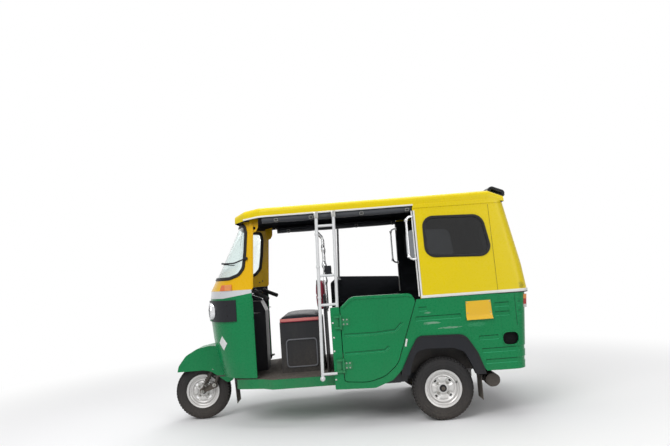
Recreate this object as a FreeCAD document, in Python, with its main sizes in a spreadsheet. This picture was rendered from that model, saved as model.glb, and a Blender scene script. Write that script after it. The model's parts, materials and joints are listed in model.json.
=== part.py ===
import FreeCAD, Part
import math
import os
from collections import namedtuple

import Sketcher

Vector = FreeCAD.Vector

# Driving sizes in millimetres and degrees. Along the vehicle every x is measured rearwards from
# the front axle; the whole vehicle is then moved by front_axle_x. Heights are from the ground.
SIZES = [
    ("front_axle_x", -1250, "front axle from the vehicle's middle"),
    ("wheelbase", 2000, "front axle to rear axle"),
    ("half_track", 590, "centre plane to the middle of a rear tyre"),
    ("tyre_radius", 238, "rolling radius"),
    ("tyre_width", 108, "over the side walls"),
    ("bead_radius", 130, "where the tyre sits on its rim"),
    ("flange_radius", 143, "rim flange"),
    ("rim_width", 84, "over the rim flanges"),
    ("rim_sheet", 5, "pressed steel of rim and disc"),
    ("disc_set", 12, "wheel disc face inside the outer flange"),
    ("spindle_radius", 15, "stub axles"),
    ("running_clearance", 0.05, "radial play of shafts in their bores"),
    ("hub_radius", 42, "hub barrel in the wheel"),
    ("hub_length", 70, "hub barrel along the axle"),
    ("skin", 3, "pressed body sheet"),
    ("seam", 0.2, "gap between neighbouring panels"),
    ("moving_gap", 6, "gap round doors and lids"),
    ("rake", 24, "steering axis from the vertical"),
    ("steer_x", 138, "steering axis at steer_z"),
    ("steer_z", 400, "height where steer_x is taken"),
    ("column_radius", 16, "steering column tube"),
    ("head_wall", 8, "wall of the steering head tube"),
    ("head_low", 705, "lower end of the steering head, as a height"),
    ("head_high", 905, "upper end of the steering head, as a height"),
    ("fork_half", 82, "centre plane to a fork leg"),
    ("fork_tube", 14, "radius of a fork leg"),
    ("fender_half", 105, "half width of the front fender"),
    ("shield_low", 395, "lower edge of the front shield"),
    ("shield_high", 1040, "upper edge of the front shield"),
    ("band_high", 1101, "upper edge of the band over the shield"),
    ("header_high", 1650, "upper edge of the windscreen surround"),
    ("apron_end", 548, "rear edge of the shield"),
    ("glass", 5, "windscreen and windows"),
    ("arch_half", 224, "half width of the opening over the front wheel"),
    ("arch_high", 668, "top of that opening"),
    ("floor_top", 385, "cab floor"),
    ("sill_depth", 75, "folded edge under the floor"),
    ("floor_front", 372, "front edge of the floor"),
    ("floor_end", 114, "rear edge of the floor ahead of the rear axle"),
    ("floor_half", 560, "half width of the floor"),
    ("house_ahead", 270, "front wall of the wheel houses ahead of the rear axle"),
    ("house_behind", 290, "rear wall of the wheel houses behind the rear axle"),
    ("flare_deep", 48, "wheel arch lips inwards from the side panels"),
    ("wheel_house_in", 512, "inner wall of the rear wheel houses from the centre plane"),
    ("wheel_house_top", 610, "top of the rear wheel houses"),
    ("side_y", 665, "outer face of the lower side panels"),
    ("belt", 935, "top of the lower side panels"),
    ("panel_low", 355, "lower edge behind the rear wheel"),
    ("door_y", 672, "outer face of the door"),
    ("door_thick", 28, "door over its folded edges"),
    ("hinge_pin", 4, "radius of the door hinge pins"),
    ("door_front", 1250, "hinged edge of the door"),
    ("hinge_radius", 9, "door hinge barrels"),
    ("swage_wide", 36, "pressed grooves of the lower panels"),
    ("swage_deep", 5, "depth of those grooves"),
    ("crease_wide", 18, "pressed lines of the door"),
    ("crease_deep", 3, "depth of those lines"),
    ("press_slope", 50, "walls of grooves and lines, from square to the sheet, in degrees"),
    ("seam_behind", 480, "rear axle to the upright seam between side and rear panels"),
    ("belt_overhang", 714, "rear axle to the lower back at the belt"),
    ("low_overhang", 660, "rear axle to the lower back at its lower edge"),
    ("roof_half", 600, "half width over the roof rails"),
    ("roof_rail_low", 1670, "lower edge of the roof rail"),
    ("roof_rail", 80, "height of the roof rail"),
    ("roof_rise", 45, "roof on the centre line above its rails"),
    ("quarter_ahead", 120, "front edge of the quarter panels ahead of the rear axle"),
    ("seat_front", 735, "front of the driver's seat box"),
    ("seat_rear", 1085, "rear of the driver's seat box"),
    ("seat_half", 310, "half width of the driver's seat box"),
    ("seat_box_top", 800, "top of the driver's seat box"),
    ("cushion_thick", 52, "driver's cushion"),
    ("bench_ahead", 105, "front of the passenger bench ahead of the rear axle"),
    ("bench_behind", 350, "rear of the passenger bench behind the rear axle"),
    ("bench_top", 690, "top of the bench box"),
    ("bench_half", 430, "half width of the bench box"),
    ("bench_cushion", 110, "passenger cushion thickness"),
    ("rail_y", 230, "chassis rail from the centre plane"),
    ("rail_wide", 40, "chassis rail width"),
    ("rail_tall", 60, "chassis rail height"),
    ("chassis_front", 420, "front end of the chassis rails"),
    ("chassis_behind", 560, "rear end of the chassis rails behind the rear axle"),
    ("hitch_y", 120, "spacing of the rear bolt holes across"),
    ("hitch_z", 60, "spacing of the rear bolt holes upwards"),
    ("hitch_hole", 6, "radius of the rear bolt holes"),
    ("guard_y", 648, "foot of the passenger guard from the centre plane"),
    ("guard_lean", 33, "how far the guard leans in over its height"),
    ("guard_tube", 12.5, "radius of the guard tubes"),
    ("curtain_radius", 35, "rolled side curtain"),
    ("handle_tube", 9.5, "radius of the grab handles"),
]


class Size:
    """A number together with the sheet expression that gives it."""

    def __init__(self, value, text):
        self.value = float(value)
        self.text = text

    def __add__(self, other):
        return Size(self.value + number(other), "(%s + %s)" % (self.text, text_of(other)))

    def __sub__(self, other):
        return Size(self.value - number(other), "(%s - %s)" % (self.text, text_of(other)))

    def __mul__(self, other):
        return Size(self.value * number(other), "(%s * %s)" % (self.text, text_of(other)))

    def __truediv__(self, other):
        return Size(self.value / number(other), "(%s / %s)" % (self.text, text_of(other)))

    def __neg__(self):
        return Size(-self.value, "(-1 * %s)" % self.text)

    def __radd__(self, other):
        return self + other

    def __rsub__(self, other):
        return -self + other

    def __rmul__(self, other):
        return self * other


def number(size):
    return size.value if isinstance(size, Size) else float(size)


def text_of(size):
    return size.text if isinstance(size, Size) else repr(float(size))


def bind(feature, prop, size):
    """Tie a property to the sheet, or set a plain number."""
    if isinstance(size, Size):
        feature.setExpression(prop, size.text)
    else:
        feature.setExpression(prop, repr(float(size)))


doc = FreeCAD.newDocument("auto_rickshaw")
sheet = doc.addObject("Spreadsheet::Sheet", "Sizes")
for row, (alias, value, note) in enumerate(SIZES, start=1):
    sheet.set("A%d" % row, alias)
    sheet.set("B%d" % row, str(value))
    sheet.set("C%d" % row, note)
    sheet.setAlias("B%d" % row, alias)
doc.recompute()
s = {alias: Size(value, "Sizes." + alias) for alias, value, note in SIZES}
v = {alias: float(value) for alias, value, note in SIZES}

nodes = []


def keep(feature, label):
    """List a finished sub-part under the name of its file."""
    feature.Label = label
    nodes.append(feature)
    return feature


def unit(vector):
    return vector * (1.0 / vector.Length)


# Sketches: an outline is a list of corners (x, y) or (x, y, radius); a disc is (x, y, radius)
# under the word "disc".

def rounded(points):
    """Corner points of a closed outline as (start, middle, end) of each corner's arc."""
    corners = []
    count = len(points)
    for index, point in enumerate(points):
        here = Vector(number(point[0]), number(point[1]), 0)
        radius = number(point[2]) if len(point) > 2 else 0
        if radius <= 0:
            corners.append((here, None, here))
            continue
        before = points[index - 1]
        after = points[(index + 1) % count]
        back = unit(Vector(number(before[0]), number(before[1]), 0) - here)
        ahead = unit(Vector(number(after[0]), number(after[1]), 0) - here)
        half = math.acos(max(-1, min(1, back.dot(ahead)))) / 2
        reach = radius / math.tan(half)
        centre = here + unit(back + ahead) * (radius / math.sin(half))
        corners.append((here + back * reach, centre, here + ahead * reach))
    return corners


def add_outline(sketch, points):
    """Lines and tangent corner arcs, every corner tied to the sheet."""
    corners = rounded(points)
    count = len(corners)
    lines = []
    arcs = {}
    for index in range(count):
        start = corners[index][2]
        end = corners[(index + 1) % count][0]
        lines.append(sketch.addGeometry(Part.LineSegment(start, end), False))
    for index, (start, centre, end) in enumerate(corners):
        if centre is None:
            continue
        radius = (start - centre).Length
        first = math.atan2(start.y - centre.y, start.x - centre.x)
        last = math.atan2(end.y - centre.y, end.x - centre.x)
        turn = (start - centre).cross(end - centre).z
        if turn < 0:
            first, last = last, first
        arc = Part.ArcOfCircle(Part.Circle(centre, Vector(0, 0, 1), radius), first, last)
        arcs[index] = (sketch.addGeometry(arc, False), 1 if turn >= 0 else 2)
    rules = []
    ties = []
    for index in range(count):
        before = lines[index - 1]
        after = lines[index]
        x, y = points[index][0], points[index][1]
        if index in arcs:
            arc, start_pos = arcs[index]
            end_pos = 3 - start_pos
            corner = sketch.addGeometry(Part.Point(Vector(number(x), number(y), 0)), True)
            rules.append(Sketcher.Constraint("Tangent", before, 2, arc, start_pos))
            rules.append(Sketcher.Constraint("Tangent", after, 1, arc, end_pos))
            rules.append(Sketcher.Constraint("PointOnObject", corner, 1, before))
            rules.append(Sketcher.Constraint("PointOnObject", corner, 1, after))
            ties.append((len(rules), points[index][2]))
            rules.append(Sketcher.Constraint("Radius", arc, number(points[index][2])))
            held = (corner, 1)
        else:
            rules.append(Sketcher.Constraint("Coincident", before, 2, after, 1))
            held = (after, 1)
        ties.append((len(rules), x))
        rules.append(Sketcher.Constraint("DistanceX", -1, 1, held[0], held[1], number(x)))
        ties.append((len(rules), y))
        rules.append(Sketcher.Constraint("DistanceY", -1, 1, held[0], held[1], number(y)))
    add_rules(sketch, rules, ties)


def add_disc(sketch, x, y, radius):
    circle = Part.Circle(Vector(number(x), number(y), 0), Vector(0, 0, 1), number(radius))
    disc = sketch.addGeometry(circle, False)
    rules = [
        Sketcher.Constraint("Radius", disc, number(radius)),
        Sketcher.Constraint("DistanceX", -1, 1, disc, 3, number(x)),
        Sketcher.Constraint("DistanceY", -1, 1, disc, 3, number(y)),
    ]
    add_rules(sketch, rules, [(0, radius), (1, x), (2, y)])


def add_rules(sketch, rules, ties):
    base = sketch.ConstraintCount
    sketch.addConstraint(rules)
    for place, size in ties:
        if isinstance(size, Size):
            sketch.setExpression("Constraints[%d]" % (base + place), size.text)


def new_body(name):
    body = doc.addObject("PartDesign::Body", name)
    bind(body, "Placement.Base.x", s["front_axle_x"])
    return body


def draw(body, role, away, outlines=(), discs=()):
    """A sketch on one of the body's own planes, moved along the plane's normal."""
    sketch = body.newObject("Sketcher::SketchObject", body.Name + "_sketch")
    plane = [item for item in body.Origin.OriginFeatures if item.Role == role][0]
    sketch.AttachmentSupport = [(plane, "")]
    sketch.MapMode = "FlatFace"
    bind(sketch, "AttachmentOffset.Base.z", away)
    for outline in outlines:
        add_outline(sketch, outline)
    for disc in discs:
        add_disc(sketch, *disc)
    return sketch


def pad(body, sketch, length, both=False, back=False):
    feature = body.newObject("PartDesign::Pad", body.Name + "_pad")
    feature.Profile = sketch
    bind(feature, "Length", length)
    feature.Midplane = both
    feature.Reversed = back
    sketch.Visibility = False
    return feature


def pocket(body, sketch, length, both=False, back=False):
    feature = body.newObject("PartDesign::Pocket", body.Name + "_pocket")
    feature.Profile = sketch
    bind(feature, "Length", length)
    feature.Midplane = both
    feature.Reversed = back
    return feature


def revolve(body, sketch, axis="H_Axis", cut=False):
    kind = "PartDesign::Groove" if cut else "PartDesign::Revolution"
    feature = body.newObject(kind, body.Name + "_turned")
    feature.Profile = sketch
    feature.ReferenceAxis = (sketch, [axis])
    feature.Angle = 360
    return feature


def repeat(body, feature, axis_role, count):
    pattern = body.newObject("PartDesign::PolarPattern", body.Name + "_repeat")
    axis = [item for item in body.Origin.OriginFeatures if item.Role == axis_role][0]
    pattern.Originals = [feature]
    pattern.Axis = (axis, [""])
    pattern.Angle = 360
    pattern.Occurrences = count
    body.Tip = pattern
    return pattern


def plate(name, outlines, outer_y, depth, discs=()):
    """A flat panel of the left side: outline in side view, from y = -outer_y inwards."""
    body = new_body(name)
    sketch = draw(body, "XZ_Plane", outer_y, outlines, discs)
    pad(body, sketch, depth, back=True)
    return body


def press(body, outer_y, outlines, deep):
    """Grooves in a side sheet: a channel stands behind it and its hollow is open in front."""
    left = number(outer_y) > 0
    behind = draw(body, "XZ_Plane", outer_y, [inset_outline(o, -v["skin"]) for o in outlines])
    channel = pad(body, behind, deep + s["skin"], back=left)
    hollow = pocket(body, draw(body, "XZ_Plane", outer_y, outlines), deep, back=not left)
    for feature in (channel, hollow):
        bind(feature, "TaperAngle", -s["press_slope"])


def box(name, x, y, z, long, wide, tall):
    feature = doc.addObject("Part::Box", name)
    bind(feature, "Length", long)
    bind(feature, "Width", wide)
    bind(feature, "Height", tall)
    bind(feature, "Placement.Base.x", s["front_axle_x"] + x)
    bind(feature, "Placement.Base.y", y)
    bind(feature, "Placement.Base.z", z)
    return feature


def fuse(name, features):
    result = doc.addObject("Part::MultiFuse", name)
    result.Shapes = features
    result.Refine = False
    return result


def cut(name, base, tool):
    result = doc.addObject("Part::Cut", name)
    result.Base = base
    result.Tool = tool
    return result


def made(name, shape):
    """A sub-part whose form needs Part's own functions; x still runs from the front axle."""
    feature = doc.addObject("Part::Feature", name)
    feature.Shape = shape
    bind(feature, "Placement.Base.x", s["front_axle_x"])
    return feature


# Shapes made in code

def tube(points, radius, bend=0):
    """A round bar along a route of straight runs joined by tangent arcs."""
    points = [Vector(*point) for point in points]
    edges = []
    start = points[0]
    for index in range(1, len(points) - 1):
        here = points[index]
        back = unit(points[index - 1] - here)
        ahead = unit(points[index + 1] - here)
        half = math.acos(max(-1, min(1, back.dot(ahead)))) / 2
        reach = bend / math.tan(half)
        centre = here + unit(back + ahead) * (bend / math.sin(half))
        first, last = here + back * reach, here + ahead * reach
        middle = centre + unit(here - centre) * bend
        edges.append(Part.makeLine(start, first))
        edges.append(Part.Arc(first, middle, last).toShape())
        start = last
    edges.append(Part.makeLine(start, points[-1]))
    path = Part.Wire(edges)
    ring = Part.Wire([Part.makeCircle(radius, points[0], unit(points[1] - points[0]))])
    return path.makePipeShell([ring], True, False)


def rod(start, end, radius):
    start, end = Vector(*start), Vector(*end)
    return Part.makeCylinder(radius, (end - start).Length, start, unit(end - start))


def prism(points, plane_offset, length, axis="y"):
    """A flat outline pushed along an axis; side view points are (x, z), front view (y, z)."""
    if axis == "y":
        corners = [Vector(x, plane_offset, z) for x, z in points]
        push = Vector(0, length, 0)
    elif axis == "x":
        corners = [Vector(plane_offset, y, z) for y, z in points]
        push = Vector(length, 0, 0)
    else:
        corners = [Vector(x, y, plane_offset) for x, y in points]
        push = Vector(0, 0, length)
    wire = Part.makePolygon(corners + corners[:1])
    return Part.Face(wire).extrude(push)


def rounded_prism(points, plane_offset, length, axis="y"):
    """The same with rounded corners; each point has a radius."""
    corners = rounded(points)

    def place(flat):
        if axis == "y":
            return Vector(flat.x, plane_offset, flat.y)
        if axis == "x":
            return Vector(plane_offset, flat.x, flat.y)
        return Vector(flat.x, flat.y, plane_offset)

    edges = []
    for index, (start, centre, end) in enumerate(corners):
        if centre is not None:
            corner = Vector(number(points[index][0]), number(points[index][1]), 0)
            middle = centre + unit(corner - centre) * (start - centre).Length
            edges.append(Part.Arc(place(start), place(middle), place(end)).toShape())
        following = corners[(index + 1) % len(corners)][0]
        if (following - end).Length > 1e-6:
            edges.append(Part.makeLine(place(end), place(following)))
    push = {"y": Vector(0, length, 0), "x": Vector(length, 0, 0), "z": Vector(0, 0, length)}[axis]
    return Part.Face(Part.Wire(edges)).extrude(push)


def upper_edges(shape):
    """Numbers of the edges that don't lie in the underside."""
    low = shape.BoundBox.ZMin + 1
    return [n for n, edge in enumerate(shape.Edges, start=1) if edge.BoundBox.ZMax > low]


def softened(shape, radius):
    """A cushion: every edge round but those it rests on."""
    return shape.makeFillet(radius, [shape.Edges[n - 1] for n in upper_edges(shape)])


def turned(profile, place):
    """A solid turned about a vertical axis, from (radius, height) points."""
    points = [Vector(0, 0, profile[0][1])] + [Vector(r, 0, z) for r, z in profile]
    points += [Vector(0, 0, profile[-1][1]), points[0]]
    solid = Part.Face(Part.makePolygon(points)).revolve(Vector(), Vector(0, 0, 1), 360)
    solid.translate(place)
    return solid


def mirror(shape):
    return shape.mirror(Vector(0, 0, 0), Vector(0, 1, 0))


def both_sides(shape):
    return Part.makeCompound([shape, mirror(shape)])


def arc_from_tangent(start, tangent, end):
    """The arc that leaves start along tangent and passes through end."""
    chord = end - start
    normal = Vector(-tangent.y, tangent.x, 0)
    lean = normal.dot(chord)
    if abs(lean) < 1e-6:
        return Part.makeLine(start, end)
    radius = chord.Length ** 2 / (2 * lean)
    centre = start + normal * radius
    toward = unit((start + end) * 0.5 - centre)
    return Part.Arc(start, centre + toward * abs(radius), end).toShape()


# A section of the front, seen from above: the nose is an arc, each corner is an arc and each
# side is a straight line to the rear edge.
FrontSection = namedtuple("FrontSection", "z nose arc_x arc_y corner_x corner_y end_x end_y")


def front_edges(section, inset):
    """The section's outer or inset line from the left rear edge to the right one."""
    z = section.z
    nose = Vector(section.nose, 0, z)
    arc_end = Vector(section.arc_x, -section.arc_y, z)
    corner = Vector(section.corner_x, -section.corner_y, z)
    rear = Vector(section.end_x, -section.end_y, z)
    sagitta = section.arc_x - section.nose
    radius = (section.arc_y ** 2 + sagitta ** 2) / (2 * sagitta)
    lean = math.asin(section.arc_y / radius)
    tangent = Vector(math.sin(lean), -math.cos(lean), 0)
    side = unit(rear - corner)
    arc_end = arc_end + Vector(math.cos(lean), math.sin(lean), 0) * inset
    nose = nose + Vector(inset, 0, 0)
    shift = Vector(-side.y, side.x, 0) * inset
    corner = corner + shift
    rear = rear + shift
    left = [Part.makeLine(rear, corner),
            arc_from_tangent(arc_end, tangent, corner)]
    right = [mirror(edge) for edge in left]
    other = Vector(arc_end.x, -arc_end.y, z)
    front = Part.Arc(arc_end, nose, other).toShape()
    return left + [front, right[1], right[0]], rear


def front_shell(sections, thickness, outward=0, ruled=False):
    """A curved sheet round the front, from sections one above the other."""
    wires = []
    for section in sections:
        outer, rear = front_edges(section, -outward)
        inner, inner_rear = front_edges(section, thickness - outward)
        z = section.z
        caps = [Part.makeLine(rear, inner_rear),
                Part.makeLine(Vector(rear.x, -rear.y, z), Vector(inner_rear.x, -inner_rear.y, z))]
        edges = Part.sortEdges(outer + inner + caps)[0]
        wires.append(Part.Wire(edges))
    return Part.makeLoft(wires, True, ruled)


# A section of the rear, seen from above: straight sides, round corners and a flat back
RearSection = namedtuple("RearSection", "z front side back radius")


def rear_wire(section, inset):
    side = section.side - inset
    back = section.back - inset
    radius = section.radius - inset
    z = section.z
    turn = radius * (1 - math.sqrt(0.5))
    points = [Vector(section.front, -side, z), Vector(back - radius, -side, z),
              Vector(back, -side + radius, z), Vector(back, side - radius, z),
              Vector(back - radius, side, z), Vector(section.front, side, z)]
    left_mid = Vector(back - turn, -side + turn, z)
    right_mid = Vector(back - turn, side - turn, z)
    return [Part.makeLine(points[0], points[1]),
            Part.Arc(points[1], left_mid, points[2]).toShape(),
            Part.makeLine(points[2], points[3]),
            Part.Arc(points[3], right_mid, points[4]).toShape(),
            Part.makeLine(points[4], points[5])]


def rear_shell(sections, thickness):
    """A sheet round the back, from sections one above the other."""
    wires = []
    for section in sections:
        outer = rear_wire(section, 0)
        inner = rear_wire(section, thickness)
        caps = [Part.makeLine(outer[0].Vertexes[0].Point, inner[0].Vertexes[0].Point),
                Part.makeLine(outer[4].Vertexes[1].Point, inner[4].Vertexes[1].Point)]
        wires.append(Part.Wire(Part.sortEdges(outer + inner + caps)[0]))
    return Part.makeLoft(wires, True, True)


# A cross-section of the roof, looking along the vehicle
RoofSection = namedtuple("RoofSection", "x half low edge crown")


def roof_wire(section, inset, below):
    half = section.half - inset
    edge = section.edge - inset
    crown = section.crown - inset
    low = section.low - below
    bend = 38 - inset
    x = section.x
    turn = bend * (1 - math.sqrt(0.5))
    left = Vector(x, -half + bend, edge)
    right = Vector(x, half - bend, edge)
    return Part.Wire([
        Part.makeLine(Vector(x, -half, low), Vector(x, -half, edge - bend)),
        Part.Arc(Vector(x, -half, edge - bend), Vector(x, -half + turn, edge - turn), left).toShape(),
        Part.Arc(left, Vector(x, 0, crown), right).toShape(),
        Part.Arc(right, Vector(x, half - turn, edge - turn), Vector(x, half, edge - bend)).toShape(),
        Part.makeLine(Vector(x, half, edge - bend), Vector(x, half, low)),
        Part.makeLine(Vector(x, half, low), Vector(x, -half, low))])


skin = v["skin"]
seam = v["seam"]
gap = v["moving_gap"]
rear_axle = v["wheelbase"]
belt = v["belt"]
seam_x = rear_axle + v["seam_behind"]
floor_rear = rear_axle - v["floor_end"]
house_front = rear_axle - v["house_ahead"]
house_rear = rear_axle + v["house_behind"]
quarter_front = rear_axle - v["quarter_ahead"]
bench_front = rear_axle - v["bench_ahead"]
bench_rear = rear_axle + v["bench_behind"]
chassis_rear = rear_axle + v["chassis_behind"]
sill_half = v["door_y"] - v["door_thick"] - gap
roof_edge = v["roof_rail_low"] + v["roof_rail"]
roof_crown = roof_edge + v["roof_rise"]

# Wheels

WHEELS = [
    # name, x, y, which way the disc faces
    ("front", 0, 0, -1),
    ("rear_left", s["wheelbase"], -s["half_track"], -1),
    ("rear_right", s["wheelbase"], s["half_track"], 1),
]


def place_wheel(body, x, y, facing):
    if facing > 0:
        body.Placement = FreeCAD.Placement(Vector(0, 0, 0), FreeCAD.Rotation(Vector(0, 0, 1), 180))
    bind(body, "Placement.Base.x", s["front_axle_x"] + x)
    bind(body, "Placement.Base.y", y)
    bind(body, "Placement.Base.z", s["tyre_radius"])


for name, wheel_x, wheel_y, facing in WHEELS:
    half = s["tyre_width"] / 2
    bead_half = s["rim_width"] / 2 - s["rim_sheet"] - s["seam"]
    tyre = new_body("tyre_" + name)
    side = [(bead_half, s["bead_radius"] + s["seam"]),
            (bead_half, s["flange_radius"] + 3),
            (half - 6, s["flange_radius"] + 14),
            (half, (s["flange_radius"] + s["tyre_radius"]) / 2 + 6),
            (half - 3, s["tyre_radius"] - 22),
            (half - 14, s["tyre_radius"] - 6),
            (half - 32, s["tyre_radius"])]
    section = draw(tyre, "YZ_Plane", 0, [side + [(-y, z) for y, z in reversed(side)]])
    revolve(tyre, section)
    place_wheel(tyre, wheel_x, wheel_y, facing)
    keep(tyre, "tyre_" + name)

    rim = new_body("rim_" + name)
    edge = s["rim_width"] / 2
    sheet_t = s["rim_sheet"]
    bead = s["bead_radius"]
    barrel = draw(rim, "YZ_Plane", 0, [[
        (-edge, s["flange_radius"]),
        (-edge, bead - sheet_t),
        (22 - edge, bead - sheet_t),
        (28 - edge, bead - 18 - sheet_t),
        (edge - 28, bead - 18 - sheet_t),
        (edge - 22, bead - sheet_t),
        (edge, bead - sheet_t),
        (edge, s["flange_radius"]),
        (edge - sheet_t, s["flange_radius"]),
        (edge - sheet_t, bead),
        (edge - 24, bead),
        (edge - 30, bead - 18),
        (30 - edge, bead - 18),
        (24 - edge, bead),
        (sheet_t - edge, bead),
        (sheet_t - edge, s["flange_radius"]),
    ]])
    revolve(rim, barrel)
    face = s["disc_set"] - edge
    disc = draw(rim, "YZ_Plane", 0, [[
        (face + 16, bead - 18 - sheet_t + 1),
        (face + 2, bead - 32),
        (face, bead - 42),
        (face + 12, 68),
        (face + 10, s["hub_radius"] + 4),
        (face - 6, s["hub_radius"]),
        (face - 6, s["spindle_radius"] + s["running_clearance"]),
        (face - 6 + s["hub_length"], s["spindle_radius"] + s["running_clearance"]),
        (face - 6 + s["hub_length"], s["hub_radius"]),
        (face + 16, s["hub_radius"]),
        (face + 18, 68),
        (face + 6, bead - 42),
        (face + 22, bead - 18 - sheet_t + 1),
    ]])
    revolve(rim, disc)
    vent_place = (s["bead_radius"] - 50) * math.sqrt(0.5)
    windows = draw(rim, "XZ_Plane", 0, discs=[(vent_place, vent_place, 10)])
    vents = pocket(rim, windows, s["rim_width"], both=True)
    repeat(rim, vents, "Y_Axis", 4)
    lobe_sketch = draw(rim, "XZ_Plane", -face - 13, [[(-22, s["hub_radius"] + 6, 7),
                                                      (22, s["hub_radius"] + 6, 7),
                                                      (38, s["bead_radius"] - 50, 12),
                                                      (-38, s["bead_radius"] - 50, 12)]])
    lobe = pad(rim, lobe_sketch, 10)
    bind(lobe, "TaperAngle", -35)
    repeat(rim, lobe, "Y_Axis", 4)
    place_wheel(rim, wheel_x, wheel_y, facing)
    keep(rim, "rim_" + name)

# Steering: everything here turns about the raked axis

rake = math.radians(v["rake"])
lean_x = math.tan(rake)


def on_axis(z):
    return v["steer_x"] + (z - v["steer_z"]) * lean_x


fork_y = v["fork_half"]
crown_z = 652
column = rod((on_axis(crown_z - 12), 0, crown_z - 12), (on_axis(1020), 0, 1020), v["column_radius"])
legs = []
for side in (-1, 1):
    legs.append(tube([(on_axis(crown_z), 0, crown_z), (on_axis(crown_z), side * fork_y, crown_z),
                      (186, side * fork_y, 470), (118, side * fork_y, 292)], v["fork_tube"], 34))
    legs.append(rod((112, side * (fork_y - 16), 292), (112, side * (fork_y + 14), 292), 22))
fork = column.multiFuse(legs)
keep(made("steering_fork", fork), "steering_fork")

link_y = fork_y - 16
links = [rod((0, -link_y - 2, v["tyre_radius"]), (0, link_y + 2, v["tyre_radius"]),
             v["spindle_radius"])]
for low_y in (-link_y, link_y - 6):
    links.append(rounded_prism([(-24, 214, 18), (-24, 262, 20), (132, 318, 18), (136, 268, 20)],
                               low_y, 6))
keep(made("front_links", links[0].multiFuse(links[1:])), "front_links")

dampers = []
for side in (-1, 1):
    y = side * fork_y
    foot = Vector(6, y, v["tyre_radius"] + 27)
    top = Vector(on_axis(crown_z) - 60, y, 560)
    lean = unit(top - foot)
    body_low = foot + lean * 70
    dampers.append(rod(foot - Vector(0, side * 16, 0), foot + Vector(0, side * 10, 0), 11)
                   .multiFuse([rod(foot, body_low, 8), rod(body_low, foot + lean * 230, 14)]))
keep(made("front_dampers", Part.makeCompound(dampers)), "front_dampers")

# Front fender: a curved top with skirts, open below
FENDER = [(-198, 424, 0), (-186, 474, 60), (-120, 558, 90), (-20, 612, 120), (90, 632, 120),
          (190, 622, 90), (268, 560, 80), (292, 460, 90), (288, 330, 30), (236, 308, 40),
          (160, 364, 80), (96, 412, 60), (30, 426, 80)]


def inset_outline(points, distance, free=()):
    """The outline moved inwards; the corners listed in free keep their place."""
    moved = []
    count = len(points)
    area = sum(points[i - 1][0] * points[i][1] - points[i][0] * points[i - 1][1]
               for i in range(count))
    turn = 1 if area > 0 else -1
    for index, (x, z, radius) in enumerate(points):
        if index in free:
            moved.append((x, z, radius))
            continue
        here = Vector(x, z, 0)
        before = unit(here - Vector(*points[index - 1][:2], 0))
        after = unit(Vector(*points[(index + 1) % count][:2], 0) - here)
        normal_before = Vector(-before.y, before.x, 0) * turn
        normal_after = Vector(-after.y, after.x, 0) * turn
        middle = unit(normal_before + normal_after)
        here = here + middle * (distance / middle.dot(normal_before))
        moved.append((here.x, here.y, max(radius - distance, 0) if radius else 0))
    return moved


half = v["fender_half"]
outer = rounded_prism(FENDER, -half, 2 * half)
top_edges = [edge for edge in outer.Edges
             if abs(abs(edge.BoundBox.YMin) - half) < 0.01 and edge.BoundBox.YLength < 0.01
             and edge.BoundBox.ZMin > 430 and edge.BoundBox.XMax < 300]
inner_points = inset_outline(FENDER[:9], skin) + [(236, 200, 0), (160, 200, 0), (-195, 200, 0)]
inner = rounded_prism(inner_points, skin - half, 2 * (half - skin))
fender = outer.cut(inner)
keep(made("front_fender", fender.cut(fork)), "front_fender")

# Handlebar with its clamp and grips
bar_side = [(418, 0, 1042), (424, -130, 1062), (548, -262, 1066), (652, -352, 1012)]
bar = tube([(x, -y, z) for x, y, z in reversed(bar_side)] + bar_side[1:], 11, 34)
clamp = rod((on_axis(1000), 0, 1000), (on_axis(1052), 0, 1052), 26)
column_hole = rod((on_axis(990), 0, 990), (on_axis(1020), 0, 1020), v["column_radius"])
grips = []
for side in (-1, 1):
    inner_end = Vector(562, side * 274, 1059)
    outer_end = Vector(654, side * 353.5, 1011)
    grips.append(rod(inner_end, outer_end, 16))
keep(made("handlebar", bar.multiFuse([clamp] + grips).cut(column_hole)), "handlebar")

# Chassis
rail_y = v["rail_y"]
rail_w = v["rail_wide"]
rail_h = v["rail_tall"]
rail_top = v["floor_top"] - skin
rail_low = rail_top - rail_h
chassis = []
for side in (-1, 1):
    chassis.append(Part.makeBox(chassis_rear - v["chassis_front"], rail_w, rail_h,
                                Vector(v["chassis_front"], side * rail_y - rail_w / 2, rail_low)))
CROSS_MEMBERS = [
    # x, half length, width
    (v["chassis_front"] + 10, rail_y, 60),
    (760, 540, 40),
    (1230, 540, 50),
    (house_front - 156, 470, 60),
    (bench_rear - 20, 480, 40),
    (bench_rear + 120, 480, 50),
]
for x, reach, wide in CROSS_MEMBERS:
    chassis.append(Part.makeBox(wide, 2 * reach, rail_h - 16, Vector(x, -reach, rail_low + 8)))
hitch = Part.makeBox(8, 2 * rail_y + rail_w, 110, Vector(chassis_rear, -rail_y - rail_w / 2,
                                                         rail_top - 110))
for y in (-v["hitch_y"] / 2, v["hitch_y"] / 2):
    for z in (-v["hitch_z"] / 2, v["hitch_z"] / 2):
        hitch = hitch.cut(rod((chassis_rear - 5, y, rail_top - 55 + z),
                              (chassis_rear + 20, y, rail_top - 55 + z), v["hitch_hole"]))
chassis.append(hitch)
head_bore = v["column_radius"] + v["running_clearance"]
head_low = v["head_low"]
head_high = v["head_high"]
head_start = (on_axis(head_low), 0, head_low)
head_end = (on_axis(head_high), 0, head_high)
head = rod(head_start, head_end, head_bore + v["head_wall"])
down = tube([(on_axis(780) + 14, 0, 770), (on_axis(780) + 110, 0, 770), (462, 0, 640),
             (462, 0, rail_low + 30)], 24, 60)
frame = chassis[0].multiFuse(chassis[1:] + [head, down])
frame = frame.cut(rod((on_axis(head_low - 30), 0, head_low - 30),
                      (on_axis(head_high + 30), 0, head_high + 30), head_bore))
keep(made("chassis_frame", frame), "chassis_frame")

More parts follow.
